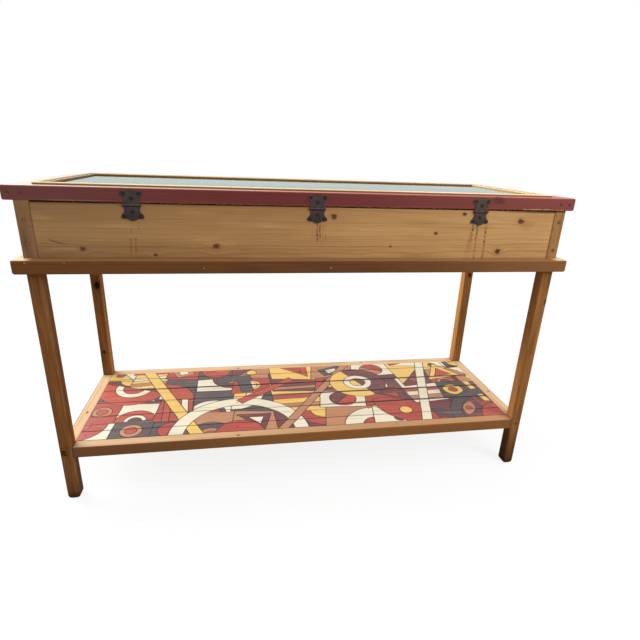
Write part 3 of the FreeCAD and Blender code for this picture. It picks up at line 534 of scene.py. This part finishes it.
LONG_FORMS = [
    # the form, its paint, and the lowest and highest y that it reaches, all in millimetres
    (lambda spot: disc(spot, -588, 96, 118) | beyond(spot, -588, 96, 68), BRICK, -35, 150),
    (lambda spot: ring(spot, -588, 96, 52, 26) | beyond(spot, -588, 96, 68), CREAM, 10, 130),
    (lambda spot: strip(spot, -452, 0, 26, 38), MUSTARD, -215, 215),
    (lambda spot: ring(spot, -215, -232, 196, 46), CREAM, -215, -5),
    (lambda spot: disc(spot, -215, -232, 78), RUST, -215, -150),
    (lambda spot: block(spot, -236, 134, 128, 40, 8) & block(spot, -196, 92, 44, 120, 8), CHARCOAL, 20, 165),
    (lambda spot: block(spot, -118, 40, 30, 250, -52), BRICK, -60, 140),
    (lambda spot: strip(spot, 66, 0, -34, 28), TAN, -215, 215),
    (lambda spot: disc(spot, 232, 66, 108) | beyond(spot, 232, 66, 205), PLUM, -60, 180),
    (lambda spot: disc(spot, 232, 66, 108) | beyond(spot, 232, 66, 25), MUSTARD, -60, 180),
    (lambda spot: ring(spot, 232, 66, 42, 24), CREAM, 0, 130),
    (lambda spot: disc(spot, 300, -210, 150) | disc(spot, 404, -80, 150), RUST, -215, 0),
    (lambda spot: disc(spot, 352, -148, 22), MUSTARD, -175, -120),
    (lambda spot: strip(spot, 470, 0, -17, 34), CREAM, -215, 215),
    (lambda spot: peak(spot, [(520, 60), (668, 84), (588, 196)]), MUSTARD, 50, 205),
    (lambda spot: peak(spot, [(556, 86), (630, 98), (590, 156)]), BRICK, 80, 160),
    (lambda spot: ring(spot, 700, -225, 178, 40), CHARCOAL, -215, -15),
    (lambda spot: disc(spot, 700, -225, 92), BRICK, -215, -130),
]
picture_columns = compose_picture(random.Random(31))
GAP_SHADE_AND_GRIME = {
    # the gap after so many planks: the x where its painted shade and dirt begin, where they are darkest, and
    # how dark
    2: (-0.15, 0.30, 0.90), 3: (-0.35, 0.10, 0.92), 4: (-0.66, -0.40, 0.95), 5: (0.1, 0.6, 0.3),
}

for turn in range(1, 7):
    node = f"shelf_plank_{turn}"
    low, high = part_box(node)
    plank = Pine(
        node + "_paint", node, 0, (0, 0.01 * turn - 0.03, -0.05), shade(206, 158, 106),
        shade(160, 108, 66), rings=0.004, sway=0.009, seed=40 + 3.0 * turn,
    )
    waver = plank.node("ShaderNodeTexNoise", {}, {"Vector": plank.place, "Scale": 14.0, "Detail": 2.0}, 1)
    spot = plank.place.vector("MULTIPLY", (1000.0, 1000.0, 0.0))
    spot = waver.vector("MULTIPLY_ADD", (5.0, 5.0, 0.0), spot).vector("SUBTRACT", (2.5, 2.5, 0.0))
    paint = TAN
    for number, (left, width, lean, patches) in enumerate(picture_columns):
        part = Picture(f"{node}_column_{number}")
        for patch in patches:
            patch_low, depth = patch[:2]
            if patch_low + depth + LEAN_REACH > 1000 * low.y and patch_low - LEAN_REACH < 1000 * high.y:
                part.lay_patch(left, width, lean, patch)
        paint = part.lay_on(plank, spot, paint)
    part = Picture(f"{node}_long_forms")
    for form, pot, lowest, highest in LONG_FORMS:
        if highest > 1000 * low.y - LINE_REACH and lowest < 1000 * high.y + LINE_REACH:
            part.lay(form(part.spot), pot)
    paint = part.lay_on(plank, spot, paint)
    up = plank.axis(2)
    rubbed = fade(plank.fibre * 0.55 + plank.patch * 0.75, 0.70, 0.95)
    streaks = plank.cloud((9.0, 330.0, 40.0), 6.0 * turn, 4.0)
    paint = over(plank.late_wood * 0.05 + rubbed * 0.28, paint, shade(112, 72, 52))
    paint = over(fade(streaks, 0.53, 0.74) * 0.40, paint, shade(72, 46, 34))
    paint = over(fade(streaks, 0.47, 0.24) * 0.22, paint, shade(240, 212, 178))
    across = plank.axis(0)
    grime = plank.cloud((5.0, 30.0, 4.0), 90.0 + turn, 3.0)
    # Painted shade and dirt along the gaps between the planks, deepest along some gaps.
    for edge, gap in ((low.y, turn - 1), (high.y, turn)):
        dark = GAP_SHADE_AND_GRIME.get(gap)
        from_gap = abs(plank.axis(1) - edge)
        line = fade(from_gap - grime * 0.003, 0.0006, -0.0008) * 0.3
        if dark:
            start, full, share = dark
            line = line | fade(across, start, full) * fade(from_gap - grime * 0.004, 0.0027, 0.0008) * share
        paint = over(line, paint, shade(22, 14, 13))
    # The planks' undersides are painted dark as shade.
    sides = over(fade(up, low.z + 0.001, low.z), shade(66, 44, 34), plank.colour)
    plank.colour = over(fade(up, high.z - 0.0010, high.z - 0.0003), sides, paint)
    dull = plank.fibre * 0.2 + plank.patch * 0.2 + 0.24
    relief = plank.fibre * 0.5 + plank.late_wood * 0.1 + streaks * 0.6
    dress(node, plank.coat(dull, relief, 0.0002, Specular_IOR_Level=0.35))


# The belt of rails.
# Four pine rails wrapped round the posts at the foot of the case and nailed on. They are stained a darker
# brown than the posts, lighter towards the right partly as painted light. Their long edges are rubbed pale,
# and their tops carry painted light from above, palest at the ends.
for turn, (side, along) in enumerate(SIDES.items()):
    node = f"{side}_belt_rail"
    rail = Pine(
        node + "_stain", node, along, (0.01, 0.012, 0.02), shade(112, 70, 35), shade(80, 46, 21),
        rings=0.0038, sway=0.006, seed=60 + 2.0 * turn,
    )
    # Lighter towards the right: partly the stain's own tone, partly painted light falling from the right.
    rail.tint(fade(rail.axis(0), 0.05, 0.72) * 0.54, shade(148, 98, 56))
    rail.darken(fade(rail.patch, 0.5, 0.75) * 0.3)
    rail.wear(0.004, shade(154, 104, 60), 0.55)
    # Painted light on the tops, as lit from above, palest at the ends.
    lit_top = fade(rail.axis(2), rail.high.z - 0.0025, rail.high.z - 0.0005)
    rail.tint(lit_top * 0.7, shade(146, 104, 68))
    rail.tint(lit_top * fade(abs(rail.axis(0)), 0.700, 0.722) * 0.75, shade(240, 214, 172))
    dress(node, rail.finished(0.52, 0.12))


# The case's panels.
# Four wide pine boards between the posts, varnished honey gold. The front one has nine knots, a fine crack
# by its left end, and rust that has run down it from the hinge screws. It is darker towards the left, partly
# its own tone and partly painted shade, and has a painted shadow under the lid.
FRONT_KNOTS = [
    # the x, height and radius of each knot, in millimetres
    (-587, 756, 5.75), (-264, 765, 6.5), (45, 845, 6.5), (337, 803, 4.0), (590, 839, 7.25),
    (533, 753, 6.75), (-415, 741, 3.75), (208, 766, 2.75), (414, 857, 4.0),
]
RUST_RUNS = [
    # the x and height of a run's top and of its foot, its width at both, in millimetres, and how strong
    (-471.5, 782, -475.0, 738, 2.4, 3.0, 0.8), (-459.5, 784, -463.0, 738, 2.6, 3.0, 0.9),
    (-466.0, 824, -470.0, 790, 1.8, 1.8, 0.4), (-449.0, 822, -450.0, 800, 1.8, 1.8, 0.4),
    (1.0, 824, 2.0, 776, 4.2, 3.9, 1.0), (8.6, 824, 9.0, 780, 4.0, 3.6, 1.0),
    (17.0, 820, 18.0, 770, 2.0, 1.8, 0.5),
    (24.4, 820, 25.1, 772, 2.0, 1.8, 0.4), (-12.0, 820, -13.0, 772, 2.0, 1.8, 0.4),
    (446.0, 828, 436.0, 716, 5.0, 15.0, 1.0), (459.0, 828, 461.0, 716, 3.8, 3.2, 1.0),
    (485.0, 826, 488.0, 718, 4.2, 7.0, 1.0),
]


def let_rust_run(panel, speckle, run):
    """Stain the front panel where rust has run down it, with darker dots in the upper part."""
    top_x, top_z, foot_x, foot_z, top_width, foot_width, strength = run
    across, up = panel.axis(0), panel.axis(2)
    lean = (foot_x - top_x) / (foot_z - top_z)
    line = across - (up * lean + (top_x / 1000 - top_z / 1000 * lean))
    spread = (foot_width - top_width) / (foot_z - top_z)
    width = up * spread + (top_width - top_z * spread) / 1000
    ragged = (speckle - 0.5) * 0.003 + (panel.fibre - 0.5) * 0.0015
    within = fade(abs(line + ragged) / width, 1.0, 0.25)
    length = fade(up, foot_z / 1000 - 0.004, foot_z / 1000 + 0.010)
    start = fade(up, top_z / 1000 + 0.004, top_z / 1000 - 0.001)
    broken = fade(speckle, 0.30, 0.62) * 0.8 + 0.2
    weaker = 1 - (width - 0.004 | 0.0) * 90.0
    stain = within * length * start * broken * strength
    panel.tint(stain * weaker, shade(140, 86, 44))
    dotted = fade(speckle, 0.50, 0.62) * (fade(up, 0.765, 0.800) * 0.75 + 0.2)
    panel.tint(stain * dotted, shade(52, 28, 20))


def weather_front(panel):
    """Give the front panel its mottle, knots, rust and crack, its darker left end, and a painted shadow
    under the lid.
    """
    across, up = panel.axis(0), panel.axis(2)
    # Darker and greyer towards the left: partly the wood's own tone, partly painted shade, as the light
    # falls from the right.
    panel.tint(fade(across, 0.34, -0.20) * 0.44, shade(124, 86, 52))
    panel.tint(fade(across, -0.20, -0.75) * 0.38, shade(110, 90, 68))
    glow = fade(abs(up - 0.80), 0.05, 0.01) * panel.patch * 0.5
    panel.tint(glow, shade(194, 150, 96))
    mottle = panel.cloud((5.0, 14.0, 56.0), 11.0, 4.0)
    panel.tint(fade(mottle, 0.50, 0.72) * 0.26, shade(146, 100, 56))
    panel.tint(fade(mottle, 0.46, 0.26) * 0.30, shade(204, 162, 106))
    fine_lines = panel.cloud((1.3, 14.0, 150.0), 21.0, 3.0)
    panel.tint(fade(fine_lines, 0.54, 0.70) * 0.30, shade(116, 76, 42))
    panel.tint(fade(panel.knot, 1.15, 0.6) * 0.60, shade(78, 43, 28))
    panel.tint(fade(panel.knot, 0.50, 0.20) * 0.5, shade(40, 24, 18))
    curl_x, curl_z = 0.612, 0.828
    from_curl = panel.place.vector("SUBTRACT", (curl_x, panel.low.y, curl_z))
    curl = from_curl.vector("MULTIPLY", (0.6, 1.0, 1.0)).length() + (panel.patch - 0.5) * 0.012
    panel.tint(fade(curl, 0.020, 0.006) * panel.fibre * 0.8, shade(158, 96, 50))
    speckle = panel.cloud((170.0, 20.0, 120.0), 3.0, 3.0)
    for run in RUST_RUNS:
        let_rust_run(panel, speckle, run)
    crack_x, crack_z, crack_slope = -0.646, 0.773, -3.2
    from_crack = abs(across - crack_x - (up - crack_z) * crack_slope)
    panel.darken(fade(from_crack, 0.009, 0.002) * fade(abs(across - crack_x), 0.026, 0.006) * 0.6)
    # Painted shadow under the lid along the panel's top, deepest towards the left, with a darker band at the
    # right end.
    below_lid = panel.high.z - up
    panel.darken(fade(below_lid, 0.0082, 0.0) * fade(across, 0.3, -0.5) * 0.4)
    panel.darken(fade(below_lid, 0.0032, 0.0) * 0.6)
    panel.darken(fade(below_lid, 0.0064, 0.0040) * fade(across, 0.48, 0.66) * 0.8)
    panel.darken(fade(below_lid, 0.0010, 0.0002) * 0.8)


for turn, (side, along) in enumerate(SIDES.items()):
    node = f"{side}_panel"
    outer = outer_face(side, node)
    if side == "front":
        knots = [(x / 1000, outer, z / 1000, radius / 1000) for x, z, radius in FRONT_KNOTS]
    elif side == "back":
        knots = [(-0.43, outer, 0.80, 0.006), (0.12, outer, 0.77, 0.004), (0.51, outer, 0.83, 0.008)]
    else:
        knots = [(outer, -0.11, 0.81, 0.006), (outer, 0.09, 0.765, 0.004)]
    panel = Pine(
        node + "_varnish", node, along, (0.03, 0.05, -0.055), shade(185, 142, 89),
        shade(150, 105, 59), knots, rings=0.0046, sway=0.014, seed=70 + 4.0 * turn,
    )
    if side == "front":
        weather_front(panel)
    panel.darken(fade(panel.from_faces(along), 0.0035, 0.0) * 0.35)
    panel.darken(fade(panel.axis(2), BELT_TOP + 0.0065, BELT_TOP - 0.0002) * 0.35)
    dress(node, panel.finished())


# The inside of the case.
# A thin pine floor board lies on four cleats along the foot of the panels. All five are bare wood
# without stain or varnish.
for turn, (node, along) in enumerate((
    ("case_floor", 0), ("front_cleat", 0), ("back_cleat", 0), ("left_cleat", 1), ("right_cleat", 1),
)):
    bare = Pine(
        node + "_bare", node, along, (0, 0.03, -0.16), shade(214, 180, 130), shade(188, 146, 98),
        rings=0.006, sway=0.03, seed=90.0 + turn,
    )
    dress(node, bare.finished(0.6, 0.2))


# The lid's frame.
# Two long rails with two wide end boards between them, brushed dark red along the grain. The top carries a
# painted sheen, pink at the right and cream at the left; the paint is thin on the edges, and chipped off the
# front rail's lower edge by the right end.
RED_EDGE = shade(190, 106, 96)
CHIP_X, ARRIS_HIGHLIGHT_X = 0.652, -0.59
DARK_SMEARS = ((0.508, 0.897, 0.021), (0.518, 0.892, 0.016))  # the x, height and radius of each
NAIL_INSETS = (0.018, 0.044)
for turn, (node, along) in enumerate((
    ("lid_front_rail", 0), ("lid_back_rail", 0), ("lid_left_end", 1), ("lid_right_end", 1),
)):
    low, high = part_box(node)
    board = Pine(
        node + "_paint", node, along, (0.02, 0.01, -0.03), shade(206, 158, 106), shade(168, 116, 70),
        rings=0.004, seed=100 + 2.0 * turn,
    )
    strokes = board.cloud(by_grain(along, 5.0, 260.0), 7.0 + turn, 4.0)
    red = over(fade(strokes, 0.3, 0.75), shade(98, 38, 36), shade(114, 48, 44))
    red = over(fade(board.patch, 0.5, 0.8) * 0.5, red, shade(90, 33, 32))
    red = over(board.late_wood * 0.15, red, shade(76, 30, 27))
    across, up = board.axis(0), board.axis(2)
    # Lighter towards the right and greyer at the left: partly the paint's own tone, partly painted light
    # falling from the right.
    red = over(fade(across, 0.10, 0.70) * 0.6, red, shade(126, 58, 46))
    red = over(fade(across, -0.25, -0.75) * 0.6, red, shade(102, 66, 62))
    near = board.near_edges(0.0045)
    rough_spots = board.cloud(by_grain(along, 22.0, 120.0), 31.0 + turn, 4.0)
    # A painted sheen on the top, pink at the right and pale cream towards the left.
    lit_top = fade(up, high.z - 0.0016, high.z - 0.0004)
    leftward = fade(across, 0.35, -0.70)
    painted_sheen = over(leftward, shade(206, 124, 108), shade(214, 194, 174))
    painted_sheen = over(fade(strokes, 0.42, 0.70) * (1 - leftward) * 0.5, painted_sheen, shade(150, 70, 60))
    red = over(near * (1 - lit_top) * 0.35, red, RED_EDGE)
    red = over(lit_top * (leftward * 0.2 + 0.70), red, painted_sheen)
    bare = fade(near * 0.42 + rough_spots, 1.06, 1.18)
    if node == "lid_front_rail":
        ragged = board.cloud((150.0, 20.0, 150.0), 5.0, 3.0) * 0.012
        for x, z, radius in DARK_SMEARS:
            smear = board.place.vector("SUBTRACT", (x, low.y, z)).vector("MULTIPLY", (0.6, 1.0, 1.0))
            red = over(fade(smear.length() + ragged, radius, radius * 0.5) * 0.6, red, shade(66, 22, 24))
        bare = bare * fade(up, low.z + 0.003, low.z + 0.009)
        by_chip = fade(abs(across - CHIP_X), 0.085, 0.06)
        under = fade(up + ragged * 0.4, low.z + 0.0066, low.z + 0.0046)
        bare = bare | fade(by_chip * under * 0.6 + rough_spots, 0.92, 1.02)
    board.tint(1 - bare, red)
    if node == "lid_front_rail":
        # Painted shade along the rail's lower edge, over the gap above the panel.
        board.tint(fade(up, low.z + 0.0016, low.z + 0.0004) * 0.5, shade(50, 26, 22))
        # A painted highlight on the lower arris at the left.
        on_arris = fade(abs(up - (low.z + 0.0024)), 0.0016, 0.0004)
        arris_highlight = on_arris * fade(abs(across - ARRIS_HIGHLIGHT_X), 0.08, 0.03)
        board.tint(arris_highlight * 0.35, shade(164, 130, 122))
    if along == 0:
        face = low.y if node == "lid_front_rail" else high.y
        for end, strength in ((-1, 0.2), (1, 0.6)):
            nails = [(end * (high.x - inset), face, (low.z + high.z) / 2) for inset in NAIL_INSETS]
            board.stain_round(nails, 0.0066, strength, shade(66, 30, 28))
    dull = strokes * 0.14 + board.patch * 0.10 + 0.34
    relief = board.relief * 0.5 + strokes * 0.5
    dress(node, board.coat(dull, relief, 0.0003, Specular_IOR_Level=0.2))


# The lid's pane.
# One sheet of clear float glass let into the frame, faintly green, with a few dusty smears. It is
# a mirror where it is seen at a slant.
pane = Finish("lid_glass_clear")
pane.colour = shade(247, 250, 249)
smears = pane.cloud((3.0, 7.0, 3.0), 2.0, 4.0)
slant = pane.node("ShaderNodeLayerWeight", {}, {"Blend": 0.5}, "Facing")
dress("lid_glass", pane.coat(
    fade(smears, 0.45, 0.9) * 0.05 + 0.01, Metallic=fade(slant, 0.80, 0.92) * 0.95,
    Transmission_Weight=1.0, IOR=1.45, Specular_Tint=shade(156, 181, 177),
))


# The moulding round the pane.
# Four mitred strips of picture moulding in unpainted pine, with a bead along the inner edge. They lie over
# the edge of the glass and are varnished. Their sides below the top are painted brown as shade, only faintly
# on the right strip, and the quirk beside the bead is painted darker.
for turn, (side, along) in enumerate(SIDES.items()):
    node = f"{side}_moulding"
    low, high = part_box(node)
    moulding = Pine(
        node + "_varnish", node, along, (0.01, 0.008, -0.03), shade(240, 212, 164),
        shade(212, 170, 116), rings=0.003, sway=0.003, seed=110 + 2.0 * turn,
    )
    up, across = moulding.axis(2), moulding.axis(1 - along)
    inward = abs(across - outer_face(side, node))
    # Painted shade on the sides below the top, only faint on the right strip.
    edges = fade(up, high.z - 0.0012, high.z - 0.0026) * (0.1 if side == "right" else 0.9)
    moulding.tint(edges, shade(98, 60, 40))
    # Darker in the quirk beside the bead.
    quirk = fade(abs(inward - 0.013), 0.0016, 0.0008) * fade(up, high.z - 0.0003, high.z - 0.0012)
    moulding.tint(quirk * 0.9, shade(104, 66, 40))
    if side == "left":
        moulding.tint(fade(up, high.z - 0.0026, high.z - 0.0012) * 0.8, shade(160, 142, 126))
    moulding.darken(fade(up, low.z + 0.0012, low.z) * 0.5)
    dress(node, moulding.finished(0.46, 0.12))


# The three butterfly hinges.
# Two leaves of dark hammered iron each, browned with rust in places, with knuckles that turn on a pin of the
# same iron. Painted shade lies in a line under the knuckles and darkens the lower leaf. Their screws have
# small domed black heads.
LEAF_FACE = -0.2520  # y of the leaves' outer faces


def iron(name, seed, dark, brown, worn, pin_height, screws):
    """Dark hammered iron with a bloom of brown rust, sooty round its screws, with painted shade under the
    knuckle and on the lower leaf.
    """
    finish = Finish(name)
    dimples = finish.node(
        "ShaderNodeTexVoronoi", {"feature": "SMOOTH_F1"},
        {"Vector": finish.place.vector("ADD", (seed, 0.0, seed)), "Scale": 260.0, "Smoothness": 0.7},
    )
    bloom = finish.cloud((60.0, 60.0, 60.0), seed, 3.0)
    finish.colour = over(fade(bloom, 0.38, 0.66), dark, brown)
    finish.tint(fade(dimples, 0.5, 0.2) * 0.35, shade(84, 76, 68))
    finish.stain_round(screws, 0.0072, 0.7, shade(26, 20, 18))
    up, out = finish.axis(2) - pin_height, LEAF_FACE - finish.axis(1)
    on_knuckle = fade(out, 0.0028, 0.0040) * fade(up, 0.0005, 0.0020)
    finish.tint(on_knuckle * worn, shade(118, 108, 98))
    # Painted shade in a line just under the knuckles, and over the lower leaf.
    finish.tint(fade(abs(up + 0.0023), 0.0022, 0.0008) * 0.7, shade(24, 18, 17))
    finish.tint(fade(up, -0.0025, -0.0245) * 0.5, shade(34, 26, 25))
    return finish.coat(bloom * 0.3 + 0.42, dimples, 0.0004, Metallic=0.2, Specular_IOR_Level=0.2)


for turn, (title, dark, brown, worn) in enumerate((
    ("left", shade(55, 49, 46), shade(66, 57, 53), 0.3),
    ("middle", shade(56, 46, 45), shade(72, 54, 51), 0.3),
    ("right", shade(58, 44, 37), shade(76, 57, 46), 0.0),
)):
    low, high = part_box(f"{title}_hinge_pin")
    pin = (low + high) / 2
    screws = [
        (pin.x + aside, LEAF_FACE, pin.z + way * far)
        for way in (-1, 1) for aside, far in ((-0.018, 0.0275), (0.018, 0.0275), (0.0, 0.016))
    ]
    for piece in ("lid_leaf", "case_leaf", "pin"):
        node = f"{title}_hinge_{piece}"
        dress(node, iron(node + "_iron", turn + len(piece) / 10, dark, brown, worn, pin.z, screws))
for node in ("lid_hinge_screws", "case_hinge_screws"):
    black = Finish(node + "_black")
    grime = black.cloud((300.0, 300.0, 300.0), 8.0)
    black.colour = over(grime, shade(22, 16, 15), shade(44, 30, 26))
    dress(node, black.coat(grime * 0.3 + 0.5, grime, 0.0002, Specular_IOR_Level=0.15))


# The screws and nails.
# Steel, dulled and rusty: countersunk screws through the posts, and wire nails in the belt, the
# lid's corners and the planks, with their heads flush.
def rusty_steel(name, bright, rust, share, at_left=None):
    """Dull steel with rust over part of it. At the table's left it may have another colour."""
    finish = Finish(name)
    bloom = finish.cloud((160.0, 160.0, 160.0), len(name), 3.0)
    finish.colour = over(fade(bloom, 0.62 - share, 0.9 - share), bright, rust)
    if at_left:
        finish.tint(fade(finish.axis(0), 0.3, -0.3) * 0.8, at_left)
    return finish.coat(bloom * 0.3 + 0.5, bloom, 0.0003, Metallic=0.1, Specular_IOR_Level=0.1)


dress("post_screws", rusty_steel(
    "post_screws_rust", shade(124, 82, 58), shade(98, 60, 42), 0.3, shade(124, 96, 76),
))
dress("shelf_screws", rusty_steel("shelf_screws_rust", shade(110, 78, 56), shade(84, 52, 36), 0.3))
dress("rail_nails", rusty_steel("rail_nails_dull", shade(158, 130, 98), shade(104, 70, 44), 0.22))
dress("lid_nails", rusty_steel(
    "lid_nails_paint", shade(80, 36, 34), shade(60, 28, 27), 0.2, shade(96, 58, 55),
))
dress("plank_nails", rusty_steel("plank_nails_dark", shade(70, 50, 44), shade(60, 40, 34), 0.2))


# The studio.
# A plain pale floor that keeps a soft shadow, a white surround for the camera, metal and glass, and
# three large soft lamps: at the front right, above, and at the back left.
class Backdrop(Finish):
    """The shading of the world, which has no place on a piece."""

    def __init__(self, world):
        self.tree = world.node_tree
        self.tree.nodes.clear()


def seen_directly(finish):
    """1 for rays from the camera, a mirror or glass, and 0 for those that light the table."""
    seen = finish.node("ShaderNodeLightPath", {}, {}, "Is Camera Ray")
    for ray in ("Is Glossy Ray", "Is Transmission Ray"):
        seen = seen | finish.node("ShaderNodeLightPath", {}, {}, ray)
    return seen


floor_mesh = bpy.data.meshes.new("studio_floor")
shape = bmesh.new()
bmesh.ops.create_grid(shape, x_segments=1, y_segments=1, size=9.0)
shape.to_mesh(floor_mesh)
shape.free()
floor = bpy.data.objects.new("studio_floor", floor_mesh)
floor.location = (0, 0, -0.0004)
bpy.context.scene.collection.objects.link(floor)
ground = Finish("studio_floor_pale")
matt = ground.node("ShaderNodeBsdfDiffuse", {}, {"Color": shade(140, 136, 130)})
paper = ground.node("ShaderNodeBsdfDiffuse", {}, {"Color": shade(250, 250, 250)})
glow = ground.node("ShaderNodeEmission", {}, {"Color": shade(255, 255, 255), "Strength": 1.0})
near_table = fade(ground.place.length(), 2.2, 0.7) * 0.16
pale = ground.node("ShaderNodeMixShader", {}, {0: 1 - near_table, 1: paper, 2: glow})
surface = ground.node("ShaderNodeMixShader", {}, {0: seen_directly(ground), 1: matt, 2: pale})
ground.node("ShaderNodeOutputMaterial", {}, {"Surface": surface})
floor.data.materials.append(ground.material)

world = bpy.data.worlds.new("studio")
world.use_nodes = True
bpy.context.scene.world = world
backdrop = Backdrop(world)
# Light on its way to wood behind the glass is the soft light too, so the inside isn't too bright.
seen = seen_directly(backdrop) & (1 - backdrop.node("ShaderNodeLightPath", {}, {}, "Diffuse Depth"))
soft = backdrop.node("ShaderNodeBackground", {}, {"Color": (1, 1, 1, 1), "Strength": 0.58})
white = backdrop.node("ShaderNodeBackground", {}, {"Color": (1, 1, 1, 1), "Strength": 1.0})
sky = backdrop.node("ShaderNodeMixShader", {}, {0: seen, 1: soft, 2: white})
backdrop.node("ShaderNodeOutputWorld", {}, {"Surface": sky})

LAMPS_AIM = Vector((0, 0, 0.6))
for name, place, size, power in (
    ("lamp_front_right", Vector((2.1, -2.1, 2.0)), 1.8, 64),
    ("lamp_above", Vector((0.0, -0.2, 3.4)), 2.4, 34),
    ("lamp_back_left", Vector((-2.6, 1.5, 1.5)), 2.2, 120),
):
    lamp = bpy.data.objects.new(name, bpy.data.lights.new(name, "AREA"))
    lamp.data.size = size
    lamp.data.energy = power
    lamp.location = place
    lamp.rotation_euler = (LAMPS_AIM - place).to_track_quat("-Z", "Y").to_euler()
    bpy.context.scene.collection.objects.link(lamp)

# The camera stands in front of the table, left of its middle and a little above the lid, and looks
# down to the right.
CAMERA_PLACE = Vector((-0.2018, -1.4556, 1.0017))
TURN, DIP, ROLL = (math.radians(angle) for angle in (10.34, 20.09, 2.28))
ahead = Vector((math.sin(TURN) * math.cos(DIP), math.cos(TURN) * math.cos(DIP), -math.sin(DIP)))
level = Vector((math.cos(TURN), -math.sin(TURN), 0))
upright = level.cross(ahead)
rightward = math.cos(ROLL) * level + math.sin(ROLL) * upright
upward = -math.sin(ROLL) * level + math.cos(ROLL) * upright
camera = bpy.data.objects.new("camera", bpy.data.cameras.new("camera"))
camera.data.sensor_width = 36.0  # mm, as is the lens
camera.data.lens = 25.68
camera.matrix_world = Matrix.Translation(CAMERA_PLACE) @ Matrix(
    (rightward, upward, -ahead)
).transposed().to_4x4()
bpy.context.scene.collection.objects.link(camera)
bpy.context.scene.camera = camera
bpy.context.scene.view_settings.view_transform = "Standard"
